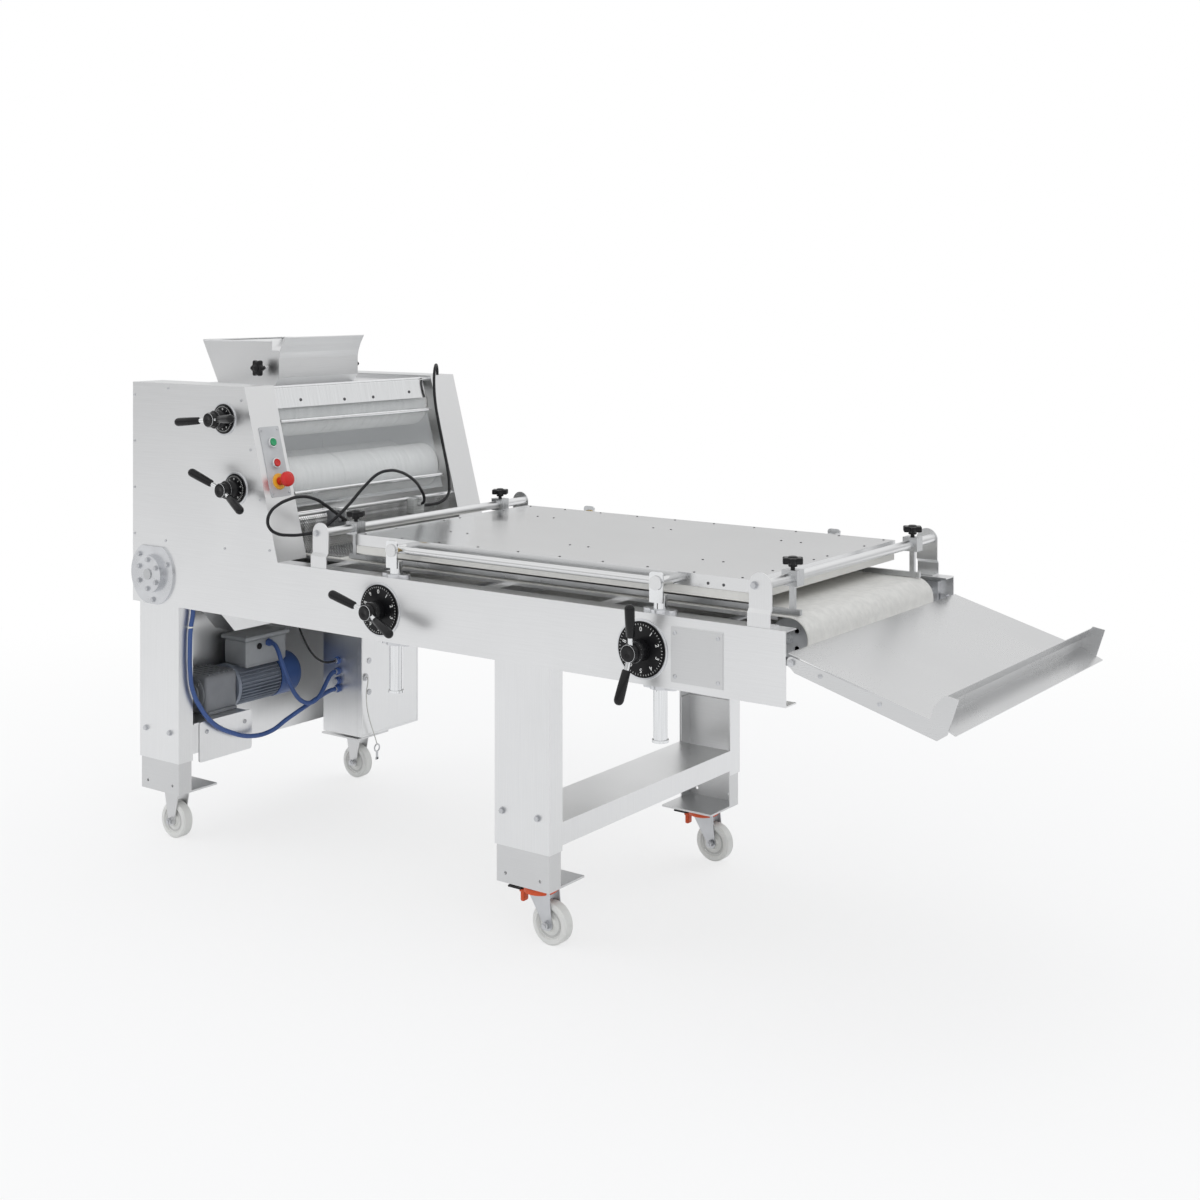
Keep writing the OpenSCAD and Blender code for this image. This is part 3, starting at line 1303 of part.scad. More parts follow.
module fasteners() color("dimgray") placed() {
    both_sides() {
        for (a = [30:60:330]) translate([0, -bearing_t - bearing_flange_t, 0])
            hex_y(drum_x + flange_bolt_r * cos(a), drum_z + flange_bolt_r * sin(a), 6, 5);
        for (a = [135, 25, -85]) translate([0, -bearing_t, 0])
            hex_y(drum_x + plate_bolt_r * cos(a), drum_z + plate_bolt_r * sin(a), 6, 5);
        for (x = [leg_infeed_x + 27, leg_infeed_x + leg_w - 36, leg_discharge_x + 24, leg_discharge_x + leg_w - 34])
            hex_y(x, leg_end_z + 82, 6.5, 6);
        for (x = [stand_infeed_x, stand_discharge_x]) translate([0, stand_y, 0]) hex_y(x + 14, rod_z - 4, 7, 6);
    }
    for (x = [cover_plate[0] + 12, cover_plate[1] - 12], z = [cover_plate[2] + 14, cover_plate[3] - 14])
        translate([0, -2, 0]) screw_y(x, z, 4.5, 2);
    both_sides() for (d = [29, 159, 289, 419], x = [8, slope_x(beam_top + d) - 22])
        screw_y(x, beam_top + d, 3.5, 1.5);
    both_sides() for (p = [[150, head_h - 14], [140, 19], [380, 19]])
        screw_y(p.x, beam_top + p.y, 3.5, 1.5);
}

side_beams();
belt_bed();
belt();
drive_drum();
idler_drum();
bearings();
head_frame();
head_covers();
curling_mat();
upper_feed_roller();
upper_gap_roller();
lower_feed_roller();
lower_gap_roller();
upper_gap_lever();
lower_gap_lever();
guard();
guard_frame();
dial_plates();
control_panel();
start_button();
stop_button();
emergency_button();
hopper();
hopper_flap();
flap_knob_near();
flap_knob_far();
guide_stands();
near_guide();
far_guide();
near_infeed_knob();
near_discharge_knob();
far_infeed_knob();
far_discharge_knob();
pressure_board();
board_core();
pivot_sleeves();
infeed_posts();
discharge_posts();
infeed_board_lever();
discharge_board_lever();
legs();
leg_extensions();
fasteners();
near_swivel_fork();
far_swivel_fork();
near_brake_pedal();
far_brake_pedal();
near_infeed_wheel();
far_infeed_wheel();
near_discharge_wheel();
far_discharge_wheel();
gearmotor();
motor_sprocket();
drive_chain();
motor_shelf();
cabinet();
cabinet_door();
tray();
cables();
key_cord();
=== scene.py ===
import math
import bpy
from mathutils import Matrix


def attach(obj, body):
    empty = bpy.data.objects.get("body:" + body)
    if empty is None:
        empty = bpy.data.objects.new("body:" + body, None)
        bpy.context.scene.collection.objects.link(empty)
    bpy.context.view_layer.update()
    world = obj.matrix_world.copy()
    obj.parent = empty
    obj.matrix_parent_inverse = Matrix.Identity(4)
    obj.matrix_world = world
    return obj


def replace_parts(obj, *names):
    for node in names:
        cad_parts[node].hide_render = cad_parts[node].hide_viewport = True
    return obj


bl_info = {
    "name": "Baguette Moulder",
    "version": (1, 0, 0),
    "blender": (4, 5, 0),
    "location": "View3D > Sidebar > Moulder",
    "description": "Gives a baguette moulder its cables, small parts and finishes",
    "category": "Object",
}

import bpy
from bpy.props import FloatProperty, FloatVectorProperty, IntProperty, PointerProperty
from mathutils import Matrix, Vector

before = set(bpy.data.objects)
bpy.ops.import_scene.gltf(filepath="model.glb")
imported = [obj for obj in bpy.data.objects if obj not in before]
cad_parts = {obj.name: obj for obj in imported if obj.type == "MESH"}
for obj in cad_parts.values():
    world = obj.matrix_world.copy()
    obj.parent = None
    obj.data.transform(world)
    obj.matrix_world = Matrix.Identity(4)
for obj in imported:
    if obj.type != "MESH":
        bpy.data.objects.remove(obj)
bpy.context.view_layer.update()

# Places are given in millimetres as on the drawing: X from the beams' infeed end,
# Y from the near beam's outer face, Z from the floor
CENTRE_X = 1236.009
CENTRE_Y = 394.0
FRAME_W = 846

# The photograph's camera, in the scene's metres
CAMERA_PLACE = (2.605481, -3.46782, 1.53259)
CAMERA_TURN = (math.pi / 2, 0, 0.62557)
CAMERA_LENS = 50.5
CAMERA_SHIFT = (0.0004, -0.25795)

# The head's sloping front: where it starts, how far it leans, and over what height
SLOPE_X, SLOPE_Z = 583, 821
SLOPE_RUN, SLOPE_RISE = 127, 455
SLOPE = math.atan2(SLOPE_RUN, SLOPE_RISE)
SLOPE_OUT = (math.cos(SLOPE), 0, math.sin(SLOPE))

# Levers and dials: name, X, Z, the arm's angle, the scale's radius
LEVERS = [
    ("upper_gap", 379, 1188, 5, 37),
    ("lower_gap", 424, 1003.5, -25, 37),
    ("infeed_board", 948.39, 739, -21.5, 59.5),
    ("discharge_board", 1738.39, 739, 82, 59.5),
]
ARM_X, ARM_Y = 101.5, 25.5
ARM_PLANE_Y = -45
DIAL_FACE_Y, DIAL_TICKS = -6.9, 50

# Knobs: the clamps on the cross rods, and the hopper's flap
CLAMP_X = {"infeed": 744, "discharge": 2047}
CLAMP_Y = {"near": 125, "far": 721}
CLAMP_TOP_Z = 941
FLAP_X, FLAP_Z = 255, 1312
FLAP_KNOB_Y = {"near": 257.6, "far": 588.4}
KNOB_STEM = 17.6

# Chain mat: its bar, its width, the step, shift and count of its rows, and its drop
MAT_X, MAT_Z = 540, 920
MAT_Y, MAT_WIDTH = 116, 614
MAT_ROW, MAT_SHIFT = 5.1, 4
MAT_HANGING, MAT_LYING = 17, 30
MAT_DROP = 87.4

# Gear motor and chain
MOTOR_X, MOTOR_Z = 100, 386
GEARBOX_Y, BARREL_Y, COVER_Y = 128, 246, 416
GRILLE_Y = COVER_Y + 83
GEARBOX = ((41, GEARBOX_Y, 332), (159, BARREL_Y, 442))
MOTOR_FOOT = ((37, 134, 330), (163, 240, 341))
FIN_Y = (263, 414)
TERMINAL_BOX = ((58, 285, 440), (150, 443, 513))
TERMINAL_LID = ((50, 277, 513), (158, 451, 526))
TERMINAL_NECK = ((62, 290, 434), (146, 438, 446))
BOX_GLAND = (150, 371, 498)
DRUM_X, DRUM_Z = 88, 745
DRUM_CHAIN_R, MOTOR_CHAIN_R = 50.4, 37.4
CHAIN_LINKS = 78
CHAIN_Y = (55.4, 57, 65, 66.6)
SHELF_X, SHELF_BOLT_Y, SHELF_BOLT_Z = 198, (96, 148, 236), 300

# Castors
AXLE_Z = 50
FIXED_X = 114
FIXED_Y = {"near": 62, "far": 784}
SWIVEL_X, SWIVEL_TRAIL = 1403.5, 36
SWIVEL_Y = {"near": 64, "far": 782}

# Control plate and guard; the buttons' name, Z, finish and slot
PLATE_Y = 57
BUTTONS = [
    ("start", 1126, "start_green", "green_button"),
    ("stop", 1072, "stop_red", "red_button"),
]
EMERGENCY_Z = 1024
PLATE_SCREW_Y, PLATE_SCREW_Z = (28, 86), (994, 1159)
STRIP_SCREWS = [(200, 1232), (368, 1225), (485, 1225), (640, 1232)]

# Cabinet and its door
GLAND_X, GLAND_Y = 257, 547
GLAND_Z = (342, 365, 394, 426)
DOOR_X, LOCK_Y, LOCK_Z = 352, 569, 385
DOOR_Y, DOOR_Z = (556, 800), (210, 646)
FASTENER_Z, HINGE_Z = (338, 431), (260, 596)

# Board and its rivets: along the sides, in pairs on top, at the ends, and its side screws
BOARD_TOP_Z, BOARD_SIDE_Y = 907, 66
RIVET_X, RIVET_PITCH, RIVET_COUNT, RIVET_Y = 822, 125, 10, 81
PAIR_X, PAIR_Y, PAIR_STEP = (1000, 1386, 1772), 240, 28
END_X, END_Y = (818, 1954), (200, 390, 456, 646)
SIDE_SCREW_X = (1868, 1908)

# Hopper, cover plate, tray, legs and the tie on the drive conduit
HOPPER_Y, HOPPER_RIM_X, HOPPER_RIM_Z = (265, 581), (-9, 278), 1387
HOPPER_BACK_X, HOPPER_BACK_Z = 333, 1398
COVER_X, COVER_Z = (1815, 1947), (678, 799)
TRAY_X, TRAY_Z, TRAY_ANGLE = 2112, 757, 16
TRAY_SIDE_Y, TRAY_SCREWS = 3.6, (70, 210)
LEG_X, LEG_BOLT_Y, LEG_BOLT_Z = 31, 34, (330, 610)
CONDUIT_TIE = (205.1, 33.5, 603)

# The two plugs, and the key's string
PLUG_X, PLUG_Z = 560, (889, 933)
NEAR_PLUG_Y, FAR_PLUG_Y = 238, 560

# Each cord's route, point by point
GUARD_CABLE = [
    (574, 560, 918), (583, 560, 918.5), (592, 559.5, 923), (598, 556, 933), (601, 549, 946),
    (605, 538, 957), (614, 519, 970), (640, 477, 989), (678, 401, 1018), (697, 341, 1037),
    (704, 296, 1044), (700, 255, 1038), (690, 214, 1008), (682, 160, 962), (672, 106, 923),
    (656, 76, 902), (633, 42, 894), (616, 6, 895), (610, -28, 903), (608.5, -52, 920),
    (608.5, -58.5, 940), (609.5, -49, 961), (611, -24, 977), (613, 10, 987), (615, 46, 991),
    (618, 98, 981), (622, 146, 954), (624, 174, 935), (621, 200, 920), (611, 223, 911),
    (597, 235, 907), (585, 238, 906), (574, 238, 906),
]
HEAD_CABLE = [
    (436, 796, 1276), (436, 796, 1285), (439, 791.5, 1297), (447.5, 779, 1306),
    (459, 762, 1306), (470, 746, 1296.5), (478, 734, 1277), (484, 727, 1248),
    (491, 725, 1195), (506, 725, 1130), (524, 725, 1060), (542, 722, 1000),
    (553, 716, 960), (563, 702, 932), (568, 666, 913), (565, 626, 908), (560, 600, 908),
    (560, 582, 908),
]
DRIVE_CONDUIT = [
    (206, 40, 661), (206, 40, 640), (205, 33, 600), (205, 30, 550), (205, 31, 480),
    (206, 38, 430), (209, 62, 378), (211, 109, 322), (215, 169, 285), (225, 235, 262),
    (235, 304, 264), (243, 356, 287), (250, 426, 313), (254, 475, 330), (257, 522, 342),
    (257, 538, 342),
]
MOTOR_CONDUIT = [
    (152, 371, 498), (162, 371, 498), (180, 368.5, 494.5), (195, 365, 484), (206, 363.5, 468),
    (214, 364, 448), (225, 371, 412), (238, 381, 374), (247, 391, 350), (255, 405, 333),
    (262, 424, 324), (266, 447, 327), (266.5, 467, 339), (264.5, 484, 355), (261.5, 501, 373),
    (258.5, 516, 386), (257, 530, 393), (257, 538, 394),
]
SENSOR_LEAD = [
    (192, 395, 610), (206, 395, 610), (217, 396, 607), (225, 398.5, 599), (230, 401.5, 587),
    (234, 404.5, 571), (239, 409, 548), (252, 420, 505), (257, 444, 466), (258, 478, 438),
    (257, 505, 428), (257, 522, 426), (257, 538, 426),
]
KEY_STRING = [
    (357, 569, 385), (361, 569, 385), (365, 567, 374), (366, 560, 346), (366, 562, 302),
    (366, 574, 258), (366, 592, 214), (366, 605, 182),
]

MATERIALS = {}


def at(x, y, z):
    """A place on the drawing, in the scene's metres."""
    return Vector(((x - CENTRE_X) / 1000, (y - CENTRE_Y) / 1000, z / 1000))


def slope_x(z):
    """Where the head's sloping front is at a height."""
    return SLOPE_X - (z - SLOPE_Z) * SLOPE_RUN / SLOPE_RISE


def deselect():
    """Leaves nothing selected."""
    bpy.ops.object.select_all(action="DESELECT")


def choose(*objects):
    """Selects these objects alone; the first is active."""
    deselect()
    for piece in objects:
        piece.select_set(True)
    bpy.context.view_layer.objects.active = objects[0]


def placed():
    """Puts the active piece's place, turn and size into its mesh."""
    bpy.ops.object.transform_apply(location=True, rotation=True, scale=True)
    return bpy.context.object


def joined(made):
    """Joins pieces into the first of them."""
    choose(*made)
    if len(made) > 1:
        bpy.ops.object.join()
    return bpy.context.view_layer.objects.active


def settle(piece, name, material, body, smooth=35):
    """Names a piece, or a list of them joined, and gives it a finish and the body it rides on."""
    if isinstance(piece, list):
        piece = joined(piece)
    choose(piece)
    placed()
    if smooth:
        bpy.ops.object.shade_smooth_by_angle(angle=math.radians(smooth))
    piece.name = name
    piece.data.materials.clear()
    piece.data.materials.append(MATERIALS[material])
    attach(piece, body)
    return piece


def bevelled(piece, width, segments=2, angle=30):
    """Rounds a piece's sharp edges by a width in millimetres."""
    if width <= 0:
        return piece
    choose(piece)
    bevel = piece.modifiers.new("Bevel", "BEVEL")
    bevel.width = width / 1000
    bevel.segments = segments
    bevel.limit_method = "ANGLE"
    bevel.angle_limit = math.radians(angle)
    bpy.ops.object.modifier_apply(modifier=bevel.name)
    return piece


def block(low, high, bevel, segments=2):
    """A block between two corners with rounded edges."""
    a, b = at(*low), at(*high)
    deselect()
    bpy.ops.mesh.primitive_cube_add(size=1, location=(a + b) / 2, scale=b - a)
    return bevelled(placed(), bevel, segments)


def rod(start, end, radius, bevel, sides):
    """A round bar between two places, its ends bevelled."""
    a, b = at(*start), at(*end)
    deselect()
    turn = (b - a).to_track_quat("Z", "Y").to_euler()
    bpy.ops.mesh.primitive_cylinder_add(
        vertices=sides, radius=radius / 1000, depth=(b - a).length,
        location=(a + b) / 2, rotation=turn)
    return bevelled(placed(), bevel)


def hoop(place, turn, radius, thickness, sides):
    """A round wire bent to a ring about a place."""
    deselect()
    bpy.ops.mesh.primitive_torus_add(
        major_radius=radius / 1000, minor_radius=thickness / 1000,
        major_segments=sides[0], minor_segments=sides[1], location=at(*place), rotation=turn)
    return placed()


def lathe(profile, centre, axis, steps=48):
    """A turned piece: a profile of (along, radius) pairs spun round an axis."""
    mesh = bpy.data.meshes.new("profile")
    points = [(radius / 1000, 0, along / 1000) for along, radius in profile]
    mesh.from_pydata(points, [(i, i + 1) for i in range(len(points) - 1)], [])
    piece = bpy.data.objects.new("profile", mesh)
    bpy.context.scene.collection.objects.link(piece)
    choose(piece)
    bpy.ops.object.mode_set(mode="EDIT")
    bpy.ops.mesh.select_all(action="SELECT")
    bpy.ops.mesh.spin(steps=steps, angle=2 * math.pi, center=(0, 0, 0), axis=(0, 0, 1))
    bpy.ops.mesh.select_all(action="SELECT")
    bpy.ops.mesh.remove_doubles(threshold=0.00001)
    bpy.ops.mesh.normals_make_consistent(inside=False)
    bpy.ops.object.mode_set(mode="OBJECT")
    turn = Vector(axis).to_track_quat("Z", "Y").to_matrix().to_4x4()
    piece.data.transform(Matrix.Translation(at(*centre)) @ turn)
    return piece


def copies(master, moves):
    """Copies a piece to each move, a matrix in the scene's frame, and joins the copies."""
    made = []
    for move in moves:
        twin = master.copy()
        twin.data = master.data.copy()
        twin.data.transform(move)
        bpy.context.scene.collection.objects.link(twin)
        made.append(twin)
    bpy.data.objects.remove(master)
    return joined(made)


def shift(x, y, z):
    """A move by millimetres."""
    return Matrix.Translation(Vector((x, y, z)) / 1000)


def spun(centre, axis, degrees):
    """A turn about an axis through a place."""
    middle = Matrix.Translation(at(*centre))
    return middle @ Matrix.Rotation(math.radians(degrees), 4, Vector(axis)) @ middle.inverted()


def moved_copies(master, steps):
    """Copies of a piece, each moved by a step in millimetres."""
    return copies(master, [shift(*step) for step in steps])


def turned_copies(master, x, z, turns):
    """Copies of a piece, each turned by degrees about an axle along Y."""
    return copies(master, [spun((x, 0, z), (0, 1, 0), turn) for turn in turns])


# Finishes

def feed(node, values):
    """Gives a node's inputs their values: a socket is linked, anything else is set."""
    for name, value in values.items():
        if isinstance(value, bpy.types.NodeSocket):
            node.id_data.links.new(value, node.inputs[name])
        else:
            node.inputs[name].default_value = value
    return node


def added(tree, kind, values=None):
    """A new node with its inputs' values."""
    return feed(tree.nodes.new("ShaderNode" + kind), values or {})


def combined(operation, first, second):
    """One value worked out from a socket and a second socket or number."""
    node = added(first.id_data, "Math", {0: first, 1: second})
    node.operation = operation
    return node.outputs["Value"]


def new_material(name, colour, rough, metal=0.0):
    """A material, as its shader and the object coordinates that its patterns read."""
    material = bpy.data.materials.new(name)
    material.use_nodes = True
    MATERIALS[name] = material
    shader = feed(material.node_tree.nodes["Principled BSDF"], {
        "Base Color": (*colour, 1), "Roughness": rough, "Metallic": metal})
    coords = added(material.node_tree, "TexCoord")
    return shader, coords.outputs["Object"]


def noise(coords, scale, detail):
    """Noise stretched by a scale along each axis, per metre."""
    tree = coords.id_data
    mapping = added(tree, "Mapping", {"Vector": coords, "Scale": scale})
    texture = added(tree, "TexNoise", {
        "Vector": mapping.outputs["Vector"], "Scale": 1.0, "Detail": detail})
    return texture.outputs["Fac"]


def ranged(value, low, high):
    """Spreads a 0.3 to 0.7 noise over a range."""
    node = added(value.id_data, "MapRange", {
        "Value": value, "From Min": 0.3, "From Max": 0.7, "To Min": low, "To Max": high})
    return node.outputs["Result"]


def two_tone(value, dark, light):
    """A colour that runs from dark to light with a pattern."""
    ramp = added(value.id_data, "ValToRGB", {"Fac": value})
    ends = ramp.color_ramp.elements
    for end, position, colour in zip(ends, (0.35, 0.65), (dark, light)):
        end.position = position
        end.color = (*colour, 1)
    return ramp.outputs["Color"]


def bumped(shader, value, depth, strength):
    """Raises a surface by a depth in millimetres with a pattern."""
    bump = added(shader.id_data, "Bump", {
        "Height": value, "Distance": depth / 1000, "Strength": strength})
    feed(shader, {"Normal": bump.outputs["Normal"]})


def shaded(colour, factor):
    """A colour made darker or lighter by a factor."""
    return tuple(min(1, part * factor) for part in colour)


def brushed(name, colour, direction, rough=0.34, depth=0.05):
    """Brushed sheet: fine scratches along one axis and faint marks of handling."""
    shader, coords = new_material(name, colour, rough, 1.0)
    grain = [620.0, 620.0, 620.0]
    grain["xyz".index(direction)] = 9.0
    scratches = noise(coords, grain, 6.0)
    marks = noise(coords, (5, 5, 5), 3.0)
    feed(shader, {
        "Base Color": two_tone(scratches, shaded(colour, 0.975), shaded(colour, 1.015)),
        "Roughness": combined(
            "ADD", ranged(scratches, rough - 0.04, rough + 0.04), ranged(marks, -0.03, 0.04))})
    bumped(shader, scratches, depth, 0.12)


def turned(name, colour, rough, metal=1.0, pitch=700.0):
    """Turned or polished bars: fine rings along Y and a slight haze."""
    shader, coords = new_material(name, colour, rough, metal)
    rings = noise(coords, (8, pitch, 8), 3.0)
    feed(shader, {
        "Base Color": two_tone(rings, shaded(colour, 0.88), colour),
        "Roughness": ranged(rings, rough * 0.7, rough * 1.4)})
    bumped(shader, rings, 0.03, 0.2)


def moulded(name, colour, rough, grain=900.0, depth=0.06, metal=0.0, spread=0.12, shine=0.5):
    """Moulded, cast or painted surface: a fine even grain with slight shade changes."""
    shader, coords = new_material(name, colour, rough, metal)
    fine = noise(coords, (grain, grain, grain), 2.0)
    broad = noise(coords, (14, 14, 14), 4.0)
    feed(shader, {
        "Specular IOR Level": shine,
        "Base Color": two_tone(broad, shaded(colour, 1 - spread), shaded(colour, 1 + spread / 2)),
        "Roughness": ranged(broad, rough - 0.06, rough + 0.08)})
    bumped(shader, fine, depth, 0.35)


def woven(name, colour, pitch, depth):
    """Woven felt: crossing threads under a soft fibre nap."""
    shader, coords = new_material(name, colour, 0.92)
    threads = []
    for direction in ("X", "Y"):
        wave = added(shader.id_data, "TexWave", {
            "Vector": coords, "Scale": pitch, "Distortion": 1.5})
        wave.wave_type = "BANDS"
        wave.bands_direction = direction
        threads.append(wave.outputs["Fac"])
    nap = noise(coords, (60, 60, 60), 6.0)
    feed(shader, {"Sheen Weight": 0.25, "Base Color": two_tone(nap, shaded(colour, 0.9), colour)})
    bumped(shader, combined("MULTIPLY", *threads), depth, 0.6)


def clear(name, colour, alpha):
    """Clear sheet with faint scratches."""
    shader, coords = new_material(name, colour, 0.06)
    scuffs = noise(coords, (40, 300, 40), 5.0)
    feed(shader, {
        "Alpha": alpha, "Specular IOR Level": 0.6, "Roughness": ranged(scuffs, 0.03, 0.12)})
    bumped(shader, scuffs, 0.02, 0.1)
    MATERIALS[name].surface_render_method = "BLENDED"


def make_finishes(colours):
    """Makes every finish of the machine."""
    steel = tuple(colours.steel)
    brushed("steel_along", steel, "x")
    brushed("steel_across", steel, "y")
    brushed("steel_upright", steel, "z")
    brushed("satin_steel", shaded(steel, 0.86), "x", rough=0.42)
    brushed("tray_steel", shaded(steel, 0.84), "x", rough=0.3)
    brushed("board_steel", shaded(steel, 0.92), "x", rough=0.2, depth=0.02)
    turned("bright_rod", (0.82, 0.83, 0.84), 0.12)
    turned("drum_steel", (0.60, 0.61, 0.62), 0.3)
    turned("roller_white", tuple(colours.rollers), 0.38, metal=0.0, pitch=90.0)
    moulded("zinc", (0.62, 0.63, 0.65), 0.34, grain=260.0, metal=1.0)
    moulded("bright_zinc", (0.70, 0.71, 0.73), 0.3, grain=320.0, depth=0.05, metal=1.0)
    moulded("dark_steel", (0.10, 0.10, 0.105), 0.42, metal=0.8)
    moulded("mat_steel", (0.42, 0.425, 0.43), 0.3, metal=1.0)
    moulded("black_plastic", (0.008, 0.008, 0.009), 0.24, shine=0.3)
    moulded("dial_black", (0.006, 0.006, 0.007), 0.3, depth=0.03, shine=0.25)
    moulded("number_white", (0.82, 0.82, 0.80), 0.5, depth=0.01)
    moulded("plate_gray", (0.55, 0.56, 0.57), 0.42, metal=0.3)
    moulded("start_green", (0.015, 0.32, 0.12), 0.25, depth=0.02)
    moulded("stop_red", (0.62, 0.015, 0.012), 0.28, depth=0.02)
    moulded("warning_yellow", (0.85, 0.44, 0.03), 0.4, depth=0.02)
    moulded("nylon", (0.80, 0.80, 0.77), 0.36, depth=0.03, spread=0.05)
    moulded("board_white", (0.78, 0.77, 0.73), 0.45, depth=0.05, spread=0.05)
    moulded("motor_blue", tuple(colours.motor), 0.36, depth=0.08)
    moulded("motor_fin_gray", (0.27, 0.30, 0.36), 0.42, depth=0.12, metal=0.3)
    moulded("gearbox_gray", (0.25, 0.26, 0.28), 0.42, grain=240.0, depth=0.2, metal=0.3)
    moulded("box_gray", (0.36, 0.375, 0.39), 0.4, depth=0.12, metal=0.2)
    moulded("pedal_black", (0.014, 0.014, 0.015), 0.4, shine=0.3)
    moulded("brake_orange", (0.80, 0.10, 0.02), 0.4, depth=0.04)
    moulded("brass", (0.68, 0.50, 0.22), 0.32, metal=1.0)
    moulded("cable_black", (0.015, 0.015, 0.017), 0.45, grain=1400.0, depth=0.03, shine=0.3)
    moulded("conduit_blue", (0.045, 0.10, 0.30), 0.4, grain=1200.0, depth=0.03)
    moulded("string_white", (0.72, 0.72, 0.68), 0.8, grain=1500.0, depth=0.2)
    moulded("hub_gray", (0.60, 0.60, 0.58), 0.4, depth=0.03)
    moulded("plug_gray", (0.16, 0.165, 0.17), 0.45)
    moulded("plug_pale", (0.50, 0.51, 0.50), 0.42)
    moulded("rivet_dark", (0.12, 0.12, 0.125), 0.4, metal=0.8)
    woven("felt", tuple(colours.felt), 480.0, 0.25)
    clear("clear_sheet", (0.93, 0.96, 0.97), 0.16)


NODE_FINISH = {
    "steel_along": ["side_beams", "head_covers", "belt_bed"],
    "board_steel": ["pressure_board"],
    "tray_steel": ["tray"],
    "steel_across": ["hopper", "hopper_flap", "head_frame"],
    "steel_upright": ["legs", "guide_stands", "cabinet", "cabinet_door", "motor_shelf"],
    "satin_steel": ["leg_extensions"],
    "bright_rod": ["guard_frame", "infeed_posts", "discharge_posts", "upper_gap_lever",
                   "lower_gap_lever", "infeed_board_lever", "discharge_board_lever"],
    "drum_steel": ["drive_drum", "idler_drum", "motor_sprocket", "drive_chain", "near_guide",
                   "far_guide"],
    "roller_white": ["upper_feed_roller", "upper_gap_roller", "lower_feed_roller",
                     "lower_gap_roller"],
    "zinc": ["fasteners", "near_swivel_fork", "far_swivel_fork"],
    "bright_zinc": ["bearings"],
    "mat_steel": ["curling_mat"],
    "black_plastic": ["near_infeed_knob", "near_discharge_knob", "far_infeed_knob",
                      "far_discharge_knob", "flap_knob_near", "flap_knob_far"],
    "dial_black": ["dial_plates"],
    "plate_gray": ["control_panel"],
    "start_green": ["start_button"],
    "stop_red": ["stop_button", "emergency_button"],
    "nylon": ["near_infeed_wheel", "far_infeed_wheel", "near_discharge_wheel",
              "far_discharge_wheel"],
    "board_white": ["board_core"],
    "brass": ["pivot_sleeves"],
    "pedal_black": ["near_brake_pedal", "far_brake_pedal"],
    "gearbox_gray": ["gearmotor"],
    "felt": ["belt"],
    "clear_sheet": ["guard"],
    "cable_black": ["cables"],
    "string_white": ["key_cord"],
}


class MoulderColours(bpy.types.PropertyGroup):
    steel: FloatVectorProperty(
        name="Steel", description="Colour of the brushed sheet", subtype="COLOR",
        size=3, min=0, max=1, default=(0.81, 0.815, 0.82))
    rollers: FloatVectorProperty(
        name="Rollers", description="Colour of the sheeting rollers", subtype="COLOR",
        size=3, min=0, max=1, default=(0.80, 0.80, 0.78))
    felt: FloatVectorProperty(
        name="Belt", description="Colour of the felt belt", subtype="COLOR",
        size=3, min=0, max=1, default=(0.80, 0.79, 0.75))
    motor: FloatVectorProperty(
        name="Motor", description="Colour of the motor's fan cover", subtype="COLOR",
        size=3, min=0, max=1, default=(0.03, 0.085, 0.27))


class MoulderSizes(bpy.types.PropertyGroup):
    cable: FloatProperty(
        name="Cable", description="Diameter of the black sensor cables", default=0.0085,
        min=0.004, max=0.012, unit="LENGTH")
    conduit: FloatProperty(
        name="Conduit", description="Diameter of the blue conduits", default=0.013,
        min=0.008, max=0.02, unit="LENGTH")
    lead: FloatProperty(
        name="Lead", description="Diameter of the thin sensor lead", default=0.006,
        min=0.003, max=0.009, unit="LENGTH")
    string: FloatProperty(
        name="String", description="Diameter of the key's string", default=0.003,
        min=0.001, max=0.004, unit="LENGTH")
    mat_turns: IntProperty(
        name="Mat turns", description="Turns in each spiral of the chain mat", default=76,
        min=20, max=120)


def sizes():
    """The sizes that a user may change."""
    return bpy.context.scene.moulder_sizes


class MOULDER_OT_camera(bpy.types.Operator):
    """Sets the camera where the photograph was taken from"""
    bl_idname = "moulder.camera"
    bl_label = "Camera"

    def execute(self, context):
        deselect()
        bpy.ops.object.camera_add(location=CAMERA_PLACE, rotation=CAMERA_TURN)
        camera = context.object
        camera.name = "photo_camera"
        camera.data.sensor_width = 36.0
        camera.data.lens = CAMERA_LENS
        camera.data.shift_x, camera.data.shift_y = CAMERA_SHIFT
        camera.data.clip_end = 60
        context.scene.camera = camera
        return {"FINISHED"}


def round_curve(name, radius, roundness):
    """A new curve with a round section, as an object in the scene."""
    curve = bpy.data.curves.new(name, "CURVE")
    curve.dimensions = "3D"
    curve.bevel_depth = radius
    curve.bevel_resolution = roundness
    piece = bpy.data.objects.new(name, curve)
    bpy.context.scene.collection.objects.link(piece)
    return piece


def cord_curve(name, points, diameter, material):
    """A round cable along its given points, as one smooth spline."""
    piece = round_curve(name, diameter / 2, 3)
    curve = piece.data
    curve.resolution_u = 6
    curve.use_fill_caps = True
    spline = curve.splines.new("BEZIER")
    spline.bezier_points.add(len(points) - 1)
    for knot, point in zip(spline.bezier_points, points):
        knot.co = at(*point)
        knot.handle_left_type = "AUTO"
        knot.handle_right_type = "AUTO"
    curve.materials.append(MATERIALS[material])
    return piece


def relief(place, axis, radius):
    """A tapered strain relief where a cable leaves its plug."""
    return lathe([(-1, radius), (0, radius + 3.4), (2.5, radius + 3.4), (3.5, radius + 2.4),
                  (10, radius + 0.9), (11, radius + 0.2), (10, radius)], place, axis, 24)


